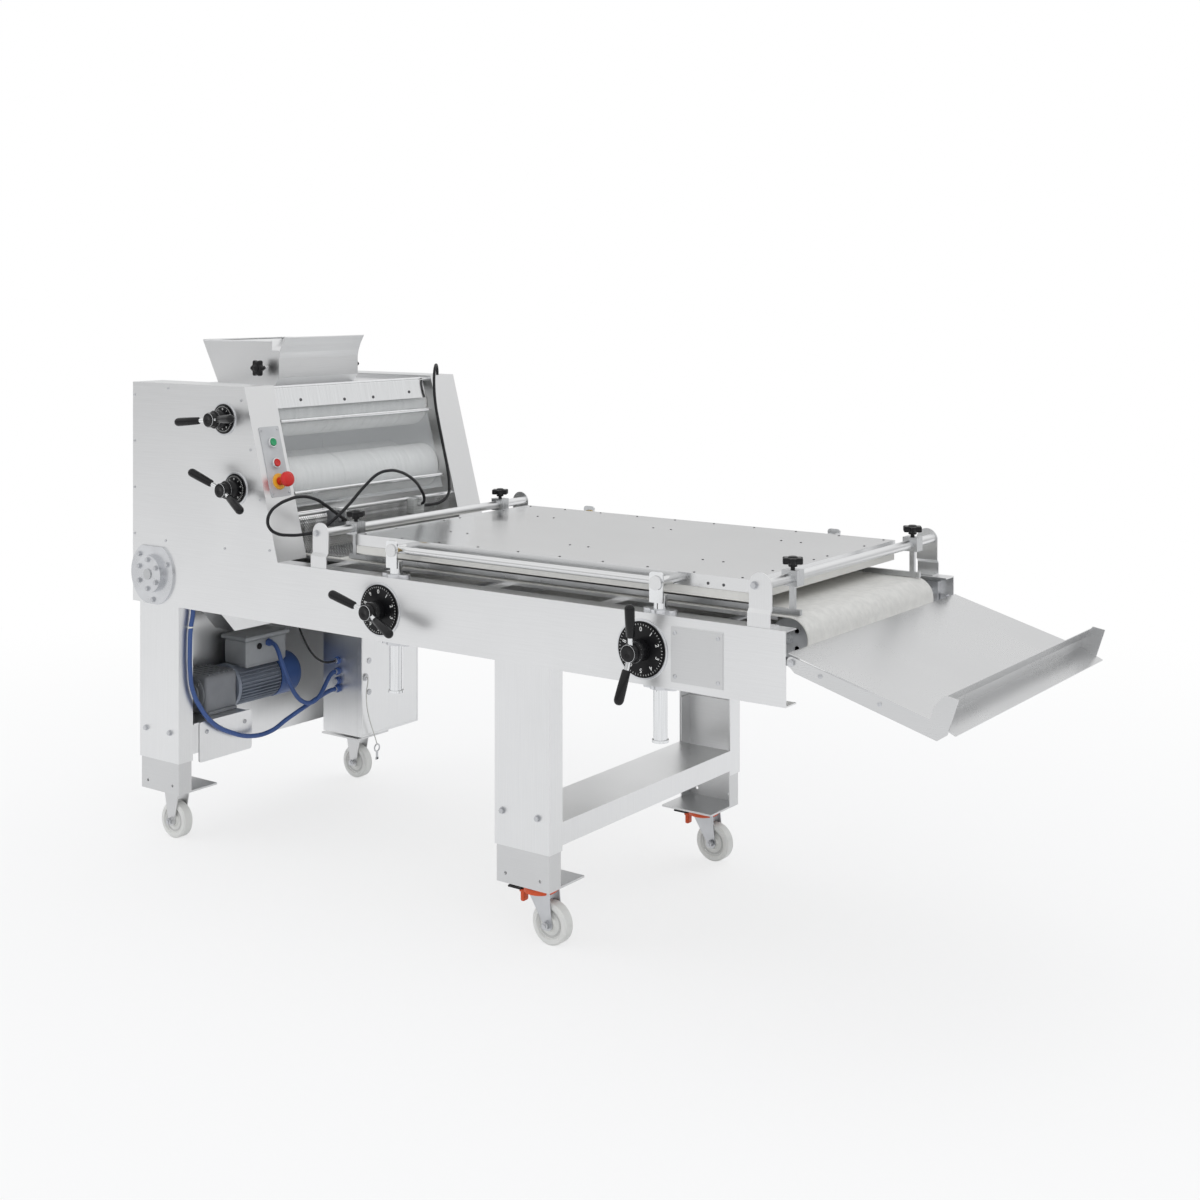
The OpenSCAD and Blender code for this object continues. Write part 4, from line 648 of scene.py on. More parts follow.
def plug(name, y, material, ends):
    """A sensor plug: a ribbed body with a tapered relief where each cable enters."""
    x, (low, high) = PLUG_X, PLUG_Z
    parts = [block((x - 14, y - 22, low), (x + 14, y + 22, high), 3.0)]
    for z in (low + 8, low + 15, low + 22):
        parts.append(block((x - 14.8, y - 22.6, z), (x + 14.8, y + 22.6, z + 2.5), 0.8))
    for place, axis in ends:
        parts.append(relief(place, axis, 4.4))
    return settle(parts, name, material, "frame")


class MOULDER_OT_cords(bpy.types.Operator):
    """Lays the free cables, the conduits and the key's string"""
    bl_idname = "moulder.cords"
    bl_label = "Cables"

    def execute(self, context):
        plugs = [
            plug("near_plug", NEAR_PLUG_Y, "plug_gray", [(GUARD_CABLE[-1], (1, 0, 0))]),
            plug("far_plug", FAR_PLUG_Y, "plug_pale",
                 [(GUARD_CABLE[0], (1, 0, 0)), (HEAD_CABLE[-1], (0, 1, 0))]),
        ]
        size = sizes()
        # Each cord's name, route, diameter, finish, plugs and length
        routes = [
            ("guard_cable", GUARD_CABLE, size.cable, "cable_black", plugs, 1.1527),
            ("head_cable", HEAD_CABLE, size.cable, "cable_black", [], 0.5952),
            ("drive_conduit", DRIVE_CONDUIT, size.conduit, "conduit_blue", [], 0.8249),
            ("motor_conduit", MOTOR_CONDUIT, size.conduit, "conduit_blue", [], 0.3816),
            ("sensor_lead", SENSOR_LEAD, size.lead, "cable_black", [], 0.2905),
        ]
        for name, points, diameter, material, others, length in routes:
            piece = cord_curve(name, points, diameter, material)
            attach(piece, "frame")
            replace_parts(piece, "cables")
        string = cord_curve("key_string", KEY_STRING, size.string, "string_white")
        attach(string, "cabinet_door")
        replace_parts(string, "key_cord")
        cabinet_key()
        return {"FINISHED"}


def cabinet_key():
    """A flat key: a round wire ring, a stem and a bit."""
    x, y, z = KEY_STRING[-1]
    ring = hoop((x, y, z - 12), (0, math.pi / 2, 0), 10.5, 2.2, (32, 10))
    stem = block((x - 1.5, y - 4, z - 46), (x + 1.5, y + 4, z - 21), 0.6)
    bit = block((x - 1.5, y - 6, z - 47), (x + 1.5, y + 6, z - 40), 0.6)
    return settle([ring, stem, bit], "cabinet_key", "zinc", "cabinet_door")


class MOULDER_OT_finishes(bpy.types.Operator):
    """Gives every solid of the frame its finish"""
    bl_idname = "moulder.finishes"
    bl_label = "Finishes"

    def execute(self, context):
        for material, nodes in NODE_FINISH.items():
            for node in nodes:
                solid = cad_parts[node]
                solid.data.materials.clear()
                solid.data.materials.append(MATERIALS[material])
        return {"FINISHED"}


class MOULDER_OT_grips(bpy.types.Operator):
    """Puts black hubs and grips on the four levers"""
    bl_idname = "moulder.grips"
    bl_label = "Lever grips"

    def execute(self, context):
        slant = math.hypot(ARM_X, ARM_Y)
        for name, x, z, angle, _ in LEVERS:
            parts = [lathe(
                [(7.6, 0), (7.6, 24.3), (9, 24.6), (35.5, 24.6), (37.5, 23.5), (39, 19.6),
                 (56, 19.6), (58.4, 18.2), (59.2, 14), (59.2, 6), (58.6, 5), (58.6, 0)],
                (x, 0, z), (0, -1, 0))]
            for turn in (0, 180):
                grip = lathe(
                    [(slant - 66.4, 6), (slant - 66.4, 8), (slant - 64, 9.6), (slant - 30, 10.9),
                     (slant, 11.4), (slant + 4.4, 10.5), (slant + 8.2, 8.2), (slant + 10.6, 4.6),
                     (slant + 11.5, 0)],
                    (x, ARM_PLANE_Y, z), (ARM_X, -ARM_Y, 0))
                grip.data.transform(spun((x, 0, z), (0, 1, 0), -angle - turn))
                parts.append(grip)
            lever = name + "_lever"
            settle(parts, lever + "_grips", "black_plastic", lever)
        return {"FINISHED"}


def number(text, height):
    """A printed number that faces the operator, at the scene's origin."""
    deselect()
    bpy.ops.object.text_add(rotation=(math.pi / 2, 0, 0))
    piece = bpy.context.object
    piece.data.body = text
    piece.data.size = height / 1000
    piece.data.align_x = "CENTER"
    piece.data.align_y = "CENTER"
    piece.data.extrude = 0.0001
    piece.data.offset = 0.00018
    bpy.ops.object.convert(target="MESH")
    return placed()


class MOULDER_OT_dials(bpy.types.Operator):
    """Prints the scales and numbers of the dials and sets a satin ring round each disc"""
    bl_idname = "moulder.dials"
    bl_label = "Dials"

    def execute(self, context):
        for name, x, z, _, radius in LEVERS:
            top = z + radius
            tick = block((x - 0.45, DIAL_FACE_Y - 0.35, top - 5),
                         (x + 0.45, DIAL_FACE_Y, top - 1.5), 0.1, 1)
            turns = [step * 360 / DIAL_TICKS for step in range(DIAL_TICKS)]
            parts = [turned_copies(tick, x, z, turns)]
            height = radius * 0.23
            for digit in range(10):
                mark = number(str(digit), height)
                place = Matrix.Translation(at(x, DIAL_FACE_Y - 0.25, z))
                place = place @ Matrix.Rotation(math.radians(36 * digit), 4, "Y")
                mark.data.transform(place @ shift(0, 0, radius - 7 - height / 2))
                parts.append(mark)
            scale = name + "_scale"
            settle(parts, scale, "number_white", "frame", smooth=0)
            inner, outer = radius + 3.2, radius + 7.6
            ring = lathe([(0.1, inner), (0.1, outer), (2.4, outer), (3.2, outer - 0.8),
                          (3.2, inner), (0.1, inner)], (x, 0, z), (0, -1, 0), 64)
            settle(ring, scale + "_ring", "bright_zinc", "frame")
        return {"FINISHED"}


def star_knob(name, x, y, z):
    """A six-lobed knob on a stem, upright: its lobes drawn out of a disc, its edges rounded."""
    middle = at(x, y, z + 7)
    deselect()
    bpy.ops.mesh.primitive_cylinder_add(vertices=72, radius=0.025, depth=0.014, location=middle)
    head = placed()
    for vertex in head.data.vertices:
        arm = vertex.co - middle
        reach = (21.4 + 3.4 * math.cos(6 * math.atan2(arm.y, arm.x))) / 25
        vertex.co.x = middle.x + arm.x * reach
        vertex.co.y = middle.y + arm.y * reach
    bevelled(head, 2.6, 3, 50)
    hub = lathe([(-17.4, 0), (-17.4, 4.9), (-6, 5), (-6, 9), (-5, 10), (-0.5, 10), (-0.5, 0)],
                (x, y, z), (0, 0, 1), 32)
    cap = lathe([(13.6, 11), (15.2, 10.8), (16.6, 8.5), (17.2, 4), (17.3, 0)],
                (x, y, z), (0, 0, 1), 32)
    knob = settle([head, hub, cap], name + "_star", "black_plastic", name)
    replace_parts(knob, name)
    return knob


class MOULDER_OT_knobs(bpy.types.Operator):
    """Moulds the star knobs of the side guides' clamps and of the hopper's flap"""
    bl_idname = "moulder.knobs"
    bl_label = "Star knobs"

    def execute(self, context):
        for side, y in CLAMP_Y.items():
            for end, x in CLAMP_X.items():
                star_knob(f"{side}_{end}_knob", x, y, CLAMP_TOP_Z)
        for side, way in (("near", -1), ("far", 1)):
            y = FLAP_KNOB_Y[side]
            knob = star_knob("flap_knob_" + side, FLAP_X, y, FLAP_Z)
            knob.data.transform(spun((FLAP_X, y, FLAP_Z), (1, 0, 0), -90 * way))
            knob.data.transform(shift(0, KNOB_STEM * way, 0))
        return {"FINISHED"}


class MOULDER_OT_mat(bpy.types.Operator):
    """Hangs the curling mat: linked wire spirals from its bar down onto the belt"""
    bl_idname = "moulder.mat"
    bl_label = "Chain mat"

    def execute(self, context):
        knots = sizes().mat_turns * 6
        row = round_curve("mat_spiral", 0.001, 0)
        spline = row.data.splines.new("POLY")
        spline.points.add(knots)
        for i, knot in enumerate(spline.points):
            angle = math.pi * i / 3
            y = MAT_Y + MAT_WIDTH * i / knots
            knot.co = (*at(MAT_X + 2.4 * math.cos(angle), y, MAT_Z + 2.9 * math.sin(angle)), 1)
        choose(row)
        bpy.ops.object.convert(target="MESH")
        steps = [(0, i % 2 * MAT_SHIFT, -MAT_ROW * i) for i in range(MAT_HANGING)]
        steps += [(MAT_ROW * i + 3, i % 2 * MAT_SHIFT, -MAT_DROP) for i in range(MAT_LYING)]
        mat = moved_copies(context.object, steps)
        settle(mat, "curling_mat_links", "mat_steel", "frame")
        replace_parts(mat, "curling_mat")
        return {"FINISHED"}


def hex_nut(x, y, z, radius, low, high, upright=False):
    """A hexagon nut with eased edges, along Y or upright, between two heights above a place."""
    if upright:
        return rod((x, y, z + low), (x, y, z + high), radius, 0.8, 6)
    return rod((x, y + low, z), (x, y + high, z), radius, 0.8, 6)


def pan_screw(place, axis, radius, height=2.2):
    """A pan-head screw that stands on a surface, along an axis out of it."""
    return lathe([(-0.5, radius * 0.9), (0, radius), (height * 0.5, radius),
                  (height * 0.9, radius * 0.7), (height, radius * 0.35),
                  (height * 0.7, radius * 0.3), (height * 0.7, 0)], place, axis, 16)


class MOULDER_OT_motor(bpy.types.Operator):
    """Builds the gear motor: gearbox, ribbed barrel, fan cover and terminal box"""
    bl_idname = "moulder.motor"
    bl_label = "Gear motor"

    def execute(self, context):
        x, z = MOTOR_X, MOTOR_Z
        corners = [(0, 0, 0), (0, 74, 0), (-108, 0, 0), (-108, 74, 0)]
        gearbox = settle([
            block(*GEARBOX, 13, 4),
            block(*MOTOR_FOOT, 3),
            lathe([(0, 0), (0, 52), (3, 52), (5, 49), (5, 34), (8, 32), (8, 13), (3, 12.2), (3, 0)],
                  (x, GEARBOX_Y, z), (0, -1, 0), 64),
            moved_copies(block((44, 140, 441), (156, 145, 445), 1.4),
                         [(0, 18 * i, 0) for i in range(6)]),
            turned_copies(hex_nut(x, GEARBOX_Y, z + 43, 5.5, -8.5, -2), x, z, (45, 135, 225, 315)),
            moved_copies(hex_nut(154, 150, 341, 5, -2, 5, upright=True), corners),
        ], "gearbox", "gearbox_gray", "frame")
        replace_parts(gearbox, "gearmotor")

        fin = block((x - 1.4, FIN_Y[0], z + 51), (x + 1.4, FIN_Y[1], z + 62), 0.8, 1)
        # No fins under the terminal box
        turns = [turn for turn in range(0, 360, 10) if not -38 < (turn + 180) % 360 - 180 < 42]
        settle([
            lathe([(0, 0), (0, 64), (12, 64), (15, 60), (17, 53), (168, 53), (170, 58), (170, 0)],
                  (x, BARREL_Y, z), (0, 1, 0), 64),
            turned_copies(fin, x, z, turns),
        ], "motor_barrel", "motor_fin_gray", "frame")

        grille = (x, GRILLE_Y, z)
        spoke = rod((x, GRILLE_Y, z + 10), (x, GRILLE_Y, z + 48), 1.3, 0.3, 8)
        settle([
            lathe([(0, 60), (0, 62.4), (3, 63), (64, 63), (76, 61), (83, 56), (86, 50), (85, 46),
                   (82, 46), (80, 52), (72, 57), (62, 60), (0, 60)], (x, COVER_Y, z), (0, 1, 0), 64),
            *[hoop(grille, (math.pi / 2, 0, 0), radius, 1.1, (48, 8)) for radius in (14, 22, 30, 38)],
            turned_copies(spoke, x, z, range(0, 360, 45)),
            lathe([(82, 0), (82, 12), (84, 12), (85, 10), (85, 0)], (x, COVER_Y, z), (0, 1, 0), 32),
        ], "fan_cover", "motor_blue", "frame")
        fan = lathe([(60, 0), (60, 55), (62, 55), (62, 0)], (x, COVER_Y, z), (0, 1, 0), 48)
        settle(fan, "fan_disc", "dark_steel", "frame")

        corners = [(0, 0, 0), (88, 0, 0), (0, 152, 0), (88, 152, 0)]
        settle([
            block(*TERMINAL_BOX, 5, 3),
            block(*TERMINAL_LID, 4, 3),
            block(*TERMINAL_NECK, 3),
            moved_copies(hex_nut(60, 288, 526, 4.5, -1, 2.5, upright=True), corners),
        ], "terminal_box", "box_gray", "frame")
        x, y, z = BOX_GLAND
        settle([
            rod(BOX_GLAND, (x + 6, y, z), 12, 0.8, 6),
            lathe([(6, 6.7), (6, 9.6), (13, 9.2), (16, 7.4), (16, 6.7)], BOX_GLAND, (1, 0, 0), 24),
        ], "motor_gland", "conduit_blue", "frame")
        blank = lathe([(0, 9), (2.6, 9), (3.4, 8), (3.4, 4), (2.2, 3.4), (2.2, 0)],
                      (x, y - 35, z - 6), (1, 0, 0), 24)
        settle(blank, "box_blank", "black_plastic", "frame")
        bolts = [pan_screw((SHELF_X, y, SHELF_BOLT_Z), (1, 0, 0), 6, 4) for y in SHELF_BOLT_Y]
        settle(bolts, "shelf_bolts", "zinc", "frame")
        return {"FINISHED"}


class MOULDER_OT_castors(bpy.types.Operator):
    """Adds hub caps, axle nuts, orange swivel rings and release tabs to the castors"""
    bl_idname = "moulder.castors"
    bl_label = "Castors"

    def execute(self, context):
        wheels = [(side + "_infeed", FIXED_X, y, "frame") for side, y in FIXED_Y.items()]
        wheels += [(side + "_discharge", SWIVEL_X + SWIVEL_TRAIL, y, side + "_swivel_fork")
                   for side, y in SWIVEL_Y.items()]
        for name, x, y, holder in wheels:
            centre = (x, y, AXLE_Z)
            caps = []
            for way in (-1, 1):
                caps.append(lathe([(15.4, 6.3), (16.4, 6.6), (17, 8), (17, 12.5), (16.2, 14.4),
                                   (15.4, 14.4)], centre, (0, way, 0), 32))
                caps.append(lathe([(11.4, 27), (12, 28), (12, 31), (11.4, 32)],
                                  centre, (0, way, 0), 48))
            settle(caps, name + "_hub_caps", "hub_gray", name + "_wheel")
            nuts = [hex_nut(*centre, 9.5, -33, -27), hex_nut(*centre, 9.5, 21, 27.5),
                    lathe([(33, 0), (33, 5), (35.6, 4.6), (36.2, 0)], centre, (0, -1, 0), 16)]
            settle(nuts, name + "_axle_nuts", "zinc", holder)
        x = SWIVEL_X
        for side, y in SWIVEL_Y.items():
            ring = lathe([(117, 34), (117, 37.5), (118.5, 39.6), (127, 40.4), (130, 39.4), (130, 34),
                          (117, 34)], (x, y, 0), (0, 0, 1), 48)
            settle(ring, side + "_swivel_ring", "brake_orange", side + "_swivel_fork")
            pedal = side + "_brake_pedal"
            tab = [block((x - 56, y - 12, 106), (x - 40, y + 12, 115), 3, 3),
                   block((x - 54, y - 10, 84), (x - 43, y + 10, 110), 3.4, 3)]
            settle(tab, side + "_release_tab", "brake_orange", pedal)
            tread = block((x - 82, y - 18, 118.8), (x - 80, y + 18, 120.4), 0.5)
            ribs = moved_copies(tread, [(6 * i, 0, 0) for i in range(5)])
            settle(ribs, side + "_pedal_ribs", "pedal_black", pedal)
        return {"FINISHED"}


class MOULDER_OT_controls(bpy.types.Operator):
    """Adds bezels, button caps, the emergency button's yellow ring and the plate's screws"""
    bl_idname = "moulder.controls"
    bl_label = "Controls"

    def execute(self, context):
        for name, z, material, slot in BUTTONS:
            place = (slope_x(z), PLATE_Y, z)
            bezel = lathe([(2, 10.3), (8.2, 10.3), (8.8, 11.2), (8.2, 13), (6, 14.3), (2, 14.6), (2, 10.3)],
                          place, SLOPE_OUT)
            settle(bezel, name + "_bezel", "bright_rod", "frame")
            cap = lathe([(3.4, 0), (3.4, 9.9), (11.2, 9.9), (12, 9.2), (12, 8.2), (11.4, 6), (11.2, 0)],
                        place, SLOPE_OUT)
            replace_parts(settle(cap, name + "_cap", material, name + "_button"), name + "_button")
        place = (slope_x(EMERGENCY_Z), PLATE_Y, EMERGENCY_Z)
        ring = lathe([(2, 11.6), (5.4, 11.6), (5.8, 14), (5.6, 20.4), (4.6, 21.6), (2, 21.8)],
                     place, SLOPE_OUT, 64)
        settle(ring, "emergency_ring", "warning_yellow", "frame")
        mushroom = lathe([(5.4, 0), (5.4, 11), (22, 11), (25, 12.5), (26, 16.4), (29, 19.4), (32, 20.2),
                          (38, 20.2), (42, 18.6), (44.6, 14), (45.8, 8), (46, 0)], place, SLOPE_OUT, 64)
        settle(mushroom, "emergency_mushroom", "stop_red", "emergency_button")
        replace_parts(mushroom, "emergency_button")
        screws = [pan_screw((slope_x(z) + 1.9, y, z + 0.5), SLOPE_OUT, 3)
                  for y in PLATE_SCREW_Y for z in PLATE_SCREW_Z]
        settle(screws, "control_plate_screws", "zinc", "frame")
        screws = [pan_screw((slope_x(z) - 5.8, y, z), SLOPE_OUT, 4.5) for y, z in STRIP_SCREWS]
        settle(screws, "guard_strip_screws", "rivet_dark", "guard")
        return {"FINISHED"}


class MOULDER_OT_cabinet(bpy.types.Operator):
    """Adds the cabinet's cable glands, its lock, turn fasteners and door trim"""
    bl_idname = "moulder.cabinet"
    bl_label = "Cabinet"

    def execute(self, context):
        for index, z in enumerate(GLAND_Z):
            nut = rod((GLAND_X, GLAND_Y, z), (GLAND_X, GLAND_Y + 7, z), 12.4, 1, 6)
            dome = lathe([(0, 6.8), (0, 7.6), (2, 9.4), (6, 10.6), (9.4, 11), (9.4, 6.8)],
                         (GLAND_X, GLAND_Y - 9, z), (0, 1, 0), 24)
            settle([nut, dome], f"gland_{index + 1}", "conduit_blue", "frame")
        parts = [lathe([(0, 12), (1.2, 12), (1.8, 11), (1.8, 9.2), (5.2, 9), (5.6, 8.2),
                        (5.6, 2.6), (4, 2.4), (4, 0)], (DOOR_X, LOCK_Y, LOCK_Z), (1, 0, 0), 32)]
        for z in FASTENER_Z:
            parts.append(lathe([(0, 9), (1.4, 9), (2, 8), (2, 3.4), (1, 3), (1, 0)],
                               (DOOR_X, LOCK_Y + 17, z), (1, 0, 0), 32))
        hinge_x, hinge_y = DOOR_X - 10, DOOR_Y[1] + 4
        for z in HINGE_Z:
            parts.append(rod((hinge_x, hinge_y, z - 22), (hinge_x, hinge_y, z + 22), 5.4, 1, 24))
        settle(parts, "door_lock", "zinc", "cabinet_door")
        back, front = DOOR_X - 0.4, DOOR_X + 0.6
        (y0, y1), (z0, z1) = DOOR_Y, DOOR_Z
        trim = [block((back, y, z0), (front, y + 4, z1), 0.4) for y in (y0, y1 - 4)]
        trim += [block((back, y0 + 4, z), (front, y1 - 4, z + 4), 0.4) for z in (z1 - 4, z0)]
        settle(trim, "door_hem", "steel_upright", "cabinet_door")
        return {"FINISHED"}


def loop_places(first, second, count):
    """Places and headings along a chain pulled round two wheels, as (x, z, degrees)."""
    (x1, z1, r1), (x2, z2, r2) = first, second
    along = math.atan2(z2 - z1, x2 - x1)
    span = math.hypot(x2 - x1, z2 - z1)
    spread = math.acos((r1 - r2) / span)
    run = math.sqrt(span * span - (r1 - r2) ** 2)
    # Each stretch: its wheel, the angle it starts at, its length, and whether it bends
    stretches = [
        (first, along + spread, 2 * r1 * (math.pi - spread), True),
        (first, along - spread, run, False),
        (second, along - spread, 2 * r2 * spread, True),
        (second, along + spread, run, False),
    ]
    total = sum(length for _, _, length, _ in stretches)
    places = []
    for i in range(count):
        left = total * i / count
        for (x, z, radius), angle, length, bends in stretches:
            if left < length:
                break
            left -= length
        if bends:
            angle += left / radius
            left = 0
        places.append((x + radius * math.cos(angle) - left * math.sin(angle),
                       z + radius * math.sin(angle) + left * math.cos(angle),
                       math.degrees(angle) + 90))
    return places


class MOULDER_OT_chain(bpy.types.Operator):
    """Links the roller chain round the drum's and the motor's sprockets"""
    bl_idname = "moulder.chain"
    bl_label = "Drive chain"

    def execute(self, context):
        x = CENTRE_X
        outer, inner, far_inner, far_outer = CHAIN_Y
        link = joined([
            block((x - 8.6, outer, -3.8), (x + 8.6, inner, 3.8), 1.6),
            block((x - 8.6, far_inner, -3.8), (x + 8.6, far_outer, 3.8), 1.6),
            rod((x - 6.2, inner, 0), (x - 6.2, far_inner, 0), 3.8, 0, 12),
        ])
        drum = (DRUM_X, DRUM_Z, DRUM_CHAIN_R)
        motor = (MOTOR_X, MOTOR_Z, MOTOR_CHAIN_R)
        # A link is made level at the scene's centre, so each turns before it moves
        moves = [shift(px - x, 0, pz) @ Matrix.Rotation(math.radians(-degrees), 4, "Y")
                 for px, pz, degrees in loop_places(drum, motor, CHAIN_LINKS)]
        chain = settle(copies(link, moves), "chain_links", "dark_steel", "frame")
        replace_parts(chain, "drive_chain")
        return {"FINISHED"}


class MOULDER_OT_trim(bpy.types.Operator):
    """Adds rivets, hems and bolts to the board, hopper, tray and stands"""
    bl_idname = "moulder.trim"
    bl_label = "Rivets and hems"

    def execute(self, context):
        places = [(RIVET_X + RIVET_PITCH * i, y)
                  for i in range(RIVET_COUNT) for y in (RIVET_Y, FRAME_W - RIVET_Y)]
        places += [(x + step, y) for x in PAIR_X for y in (PAIR_Y, FRAME_W - PAIR_Y)
                   for step in (-PAIR_STEP, PAIR_STEP)]
        places += [(x, y) for x in END_X for y in END_Y]
        rivets = [pan_screw((x, y, BOARD_TOP_Z), (0, 0, 1), 3, 1.2) for x, y in places]
        for x in SIDE_SCREW_X:
            for y, way in ((BOARD_SIDE_Y, -1), (FRAME_W - BOARD_SIDE_Y, 1)):
                rivets.append(pan_screw((x, y, BOARD_TOP_Z - 18), (0, way, 0), 3.4, 1.6))
        settle(rivets, "board_rivets", "rivet_dark", "pressure_board")
        sheet = block((COVER_X[0], -2.8, COVER_Z[0]), (COVER_X[1], -2, COVER_Z[1]), 0.3, 1)
        settle(sheet, "cover_sheet", "satin_steel", "frame")
        bolts = [pan_screw((LEG_X, y, z), (-1, 0, 0), 5, 3)
                 for y in (LEG_BOLT_Y, FRAME_W - LEG_BOLT_Y) for z in LEG_BOLT_Z]
        settle(bolts, "leg_side_bolts", "zinc", "frame")
        x, y, z = CONDUIT_TIE
        tie = [lathe([(-2, 6.6), (-2, 7.9), (2, 7.9), (2, 6.6), (-2, 6.6)], CONDUIT_TIE, (0, 0, 1), 32),
               block((x - 2.5, y - 9.9, z - 3), (x + 2.5, y - 6.3, z + 3), 0.8)]
        settle(tie, "conduit_tie", "nylon", "frame")
        (near, far), (left, right), top = HOPPER_Y, HOPPER_RIM_X, HOPPER_RIM_Z
        hems = [rod((left, y, top), (right, y, top), 2.6, 0.6, 16) for y in HOPPER_Y]
        hems.append(rod((left, near, top), (left, far, top), 2.6, 0.6, 16))
        hems.append(rod((HOPPER_BACK_X, near, HOPPER_BACK_Z), (HOPPER_BACK_X, far, HOPPER_BACK_Z),
                        2.4, 0.6, 16))
        settle(hems, "hopper_hem", "steel_across", "frame")
        slope = math.radians(TRAY_ANGLE)
        bolts = []
        for y, way, low, high in ((TRAY_SIDE_Y, -1, -6, 0), (FRAME_W - TRAY_SIDE_Y, 1, 0, 6)):
            bolts.append(hex_nut(TRAY_X, y, TRAY_Z, 8, low, high))
            for along in TRAY_SCREWS:
                x, z = TRAY_X + along * math.cos(slope), TRAY_Z - along * math.sin(slope)
                bolts.append(pan_screw((x, y, z), (0, way, 0), 5))
        settle(bolts, "tray_bolts", "zinc", "tray")
        return {"FINISHED"}


def floor_material():
    """Pale and matt, white to the camera further out, and nearly so in gloss."""
    material = bpy.data.materials.new("pale_floor")
    material.use_nodes = True
    tree = material.node_tree
    shader = feed(tree.nodes["Principled BSDF"], {
        "Base Color": (0.86, 0.86, 0.86, 1), "Roughness": 0.9, "Specular IOR Level": 0.1})
    glow = added(tree, "Emission", {"Color": (1, 1, 1, 1)})
    reach = added(tree, "VectorMath", {0: added(tree, "TexCoord").outputs["Object"]})
    reach.operation = "LENGTH"
    fade = added(tree, "MapRange", {
        "Value": reach.outputs["Value"],
        "From Min": 0.8, "From Max": 4.2, "To Min": 0.7, "To Max": 1.0})
    fade.interpolation_type = "SMOOTHSTEP"
    rays = added(tree, "LightPath")
    glossy = combined("MULTIPLY", rays.outputs["Is Glossy Ray"], 0.8)
    seen = combined("MAXIMUM", rays.outputs["Is Camera Ray"], glossy)
    mix = added(tree, "MixShader", {
        "Fac": combined("MULTIPLY", seen, fade.outputs["Result"]),
        1: shader.outputs["BSDF"], 2: glow.outputs["Emission"]})
    feed(tree.nodes["Material Output"], {"Surface": mix.outputs["Shader"]})
    return material


def pale_world():
    """Soft light, white to the camera and through glass; in gloss a sky that brightens upwards."""
    world = bpy.data.worlds.new("pale_world")
    world.use_nodes = True
    tree = world.node_tree
    soft = feed(tree.nodes["Background"], {"Color": (0.94, 0.96, 1, 1), "Strength": 0.62})
    white = added(tree, "Background", {"Color": (1, 1, 1, 1)})
    split = added(tree, "SeparateXYZ", {"Vector": added(tree, "TexCoord").outputs["Generated"]})
    ramp = added(tree, "ValToRGB", {"Fac": split.outputs["Z"]})
    ramp.color_ramp.interpolation = "EASE"
    stops = ramp.color_ramp.elements
    for height, level in ((0.10, 0.62), (0.30, 0.86), (0.62, 1.0)):
        stops.new(height).color = (level, level, level, 1)
    stops[0].color = (0.34, 0.34, 0.34, 1)
    stops[-1].color = (0.82, 0.82, 0.82, 1)
    sky = added(tree, "Background", {"Color": ramp.outputs["Color"]})
    rays = added(tree, "LightPath")
    seen = combined("MAXIMUM", rays.outputs["Is Camera Ray"], rays.outputs["Is Transmission Ray"])
    shine = added(tree, "MixShader", {
        "Fac": rays.outputs["Is Glossy Ray"],
        1: soft.outputs["Background"], 2: sky.outputs["Background"]})
    mix = added(tree, "MixShader", {
        "Fac": seen, 1: shine.outputs["Shader"], 2: white.outputs["Background"]})
    feed(tree.nodes["World Output"], {"Surface": mix.outputs["Shader"]})
    return world


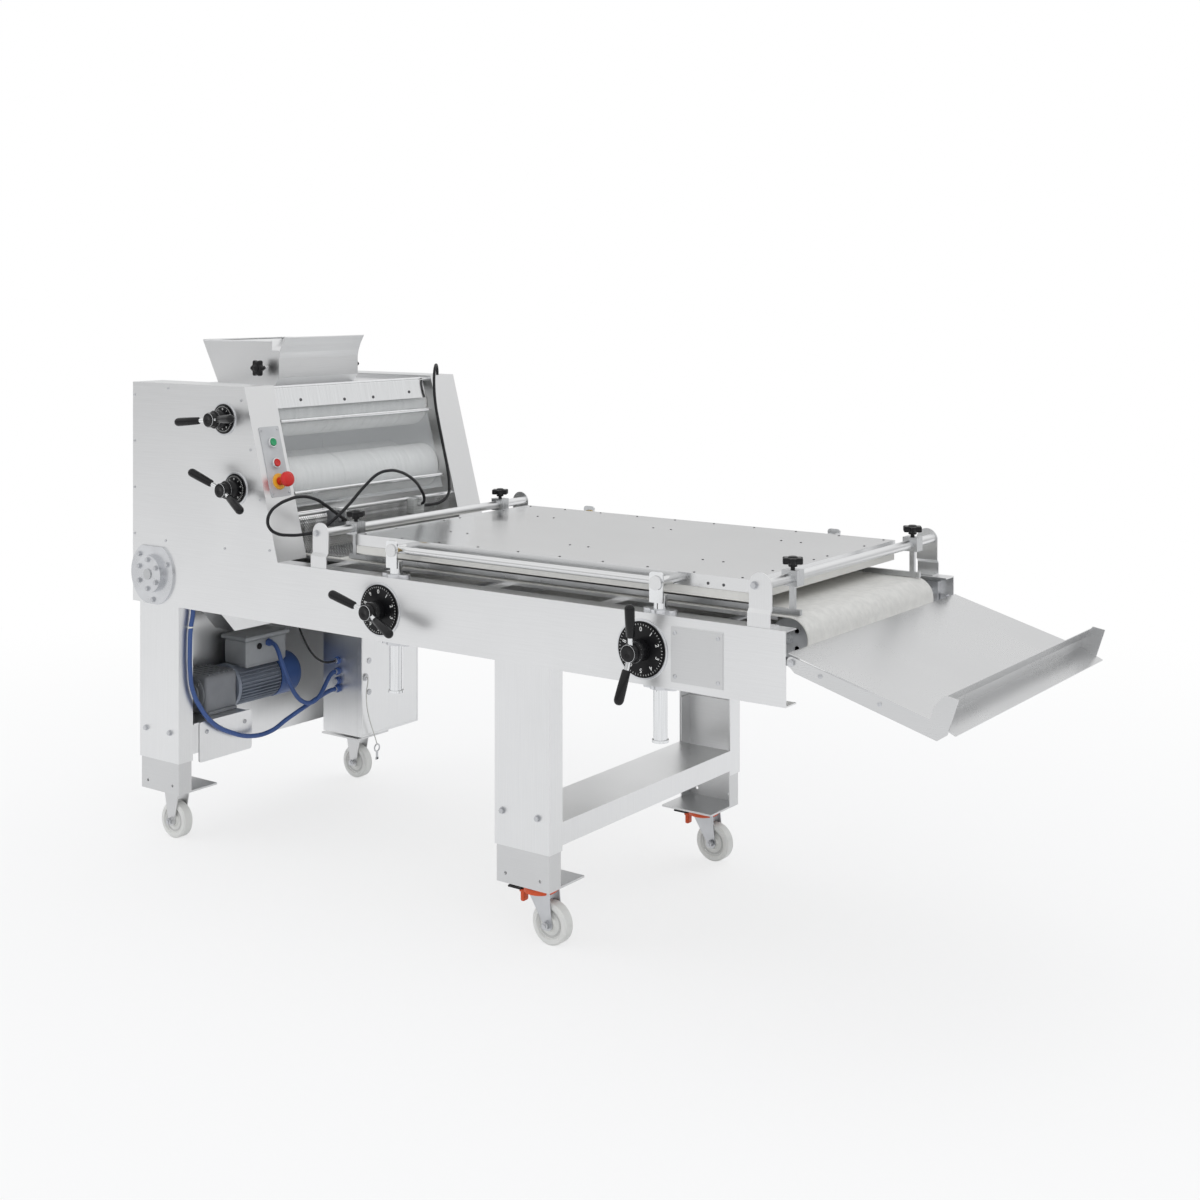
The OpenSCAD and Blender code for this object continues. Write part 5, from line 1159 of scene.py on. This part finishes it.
class MOULDER_OT_stage(bpy.types.Operator):
    """Sets a pale floor, soft lamps and a pale world"""
    bl_idname = "moulder.stage"
    bl_label = "Stage"

    def execute(self, context):
        deselect()
        bpy.ops.mesh.primitive_plane_add(size=40, location=(0, 0, 0))
        floor = context.object
        floor.name = "floor"
        floor.data.materials.append(floor_material())
        context.scene.world = pale_world()
        lamps = [
            ("key_lamp", (3.4, -3.6, 3.8), 4.6, 70),
            ("fill_lamp", (-3.6, -3.2, 2.8), 3.6, 42),
            ("top_lamp", (-0.4, 0.6, 4.4), 4.6, 52),
            ("back_lamp", (1.2, 4.4, 2.8), 3.6, 34),
        ]
        for name, place, size, power in lamps:
            deselect()
            bpy.ops.object.light_add(type="AREA", location=place)
            lamp = context.object
            lamp.name = name
            lamp.data.size = size
            lamp.data.energy = power
            lamp.visible_glossy = False
            aim = Vector((0, 0, 0.8)) - Vector(place)
            lamp.rotation_euler = aim.to_track_quat("-Z", "Y").to_euler()
        context.scene.view_settings.view_transform = "Standard"
        return {"FINISHED"}


STEPS = [
    "camera", "cords", "finishes", "grips", "dials", "knobs", "mat", "motor", "castors", "controls",
    "cabinet", "chain", "trim", "stage",
]


class MOULDER_PT_panel(bpy.types.Panel):
    bl_idname = "MOULDER_PT_panel"
    bl_label = "Baguette Moulder"
    bl_space_type = "VIEW_3D"
    bl_region_type = "UI"
    bl_category = "Moulder"

    def draw(self, context):
        layout = self.layout
        for group in (context.scene.moulder_sizes, context.scene.moulder_colours):
            for name in group.bl_rna.properties.keys():
                if name not in ("rna_type", "name"):
                    layout.prop(group, name)
        for step in STEPS:
            layout.operator("moulder." + step)


CLASSES = [
    MoulderColours, MoulderSizes, MOULDER_OT_camera, MOULDER_OT_cords, MOULDER_OT_finishes,
    MOULDER_OT_grips, MOULDER_OT_dials, MOULDER_OT_knobs, MOULDER_OT_mat, MOULDER_OT_motor,
    MOULDER_OT_castors, MOULDER_OT_controls, MOULDER_OT_cabinet, MOULDER_OT_chain,
    MOULDER_OT_trim, MOULDER_OT_stage, MOULDER_PT_panel,
]


def register():
    for item in CLASSES:
        bpy.utils.register_class(item)
    bpy.types.Scene.moulder_colours = PointerProperty(type=MoulderColours)
    bpy.types.Scene.moulder_sizes = PointerProperty(type=MoulderSizes)


def unregister():
    del bpy.types.Scene.moulder_sizes
    del bpy.types.Scene.moulder_colours
    for item in reversed(CLASSES):
        bpy.utils.unregister_class(item)


def main():
    register()
    make_finishes(bpy.context.scene.moulder_colours)
    for step in STEPS:
        getattr(bpy.ops.moulder, step)()


if __name__ == "__main__":
    main()
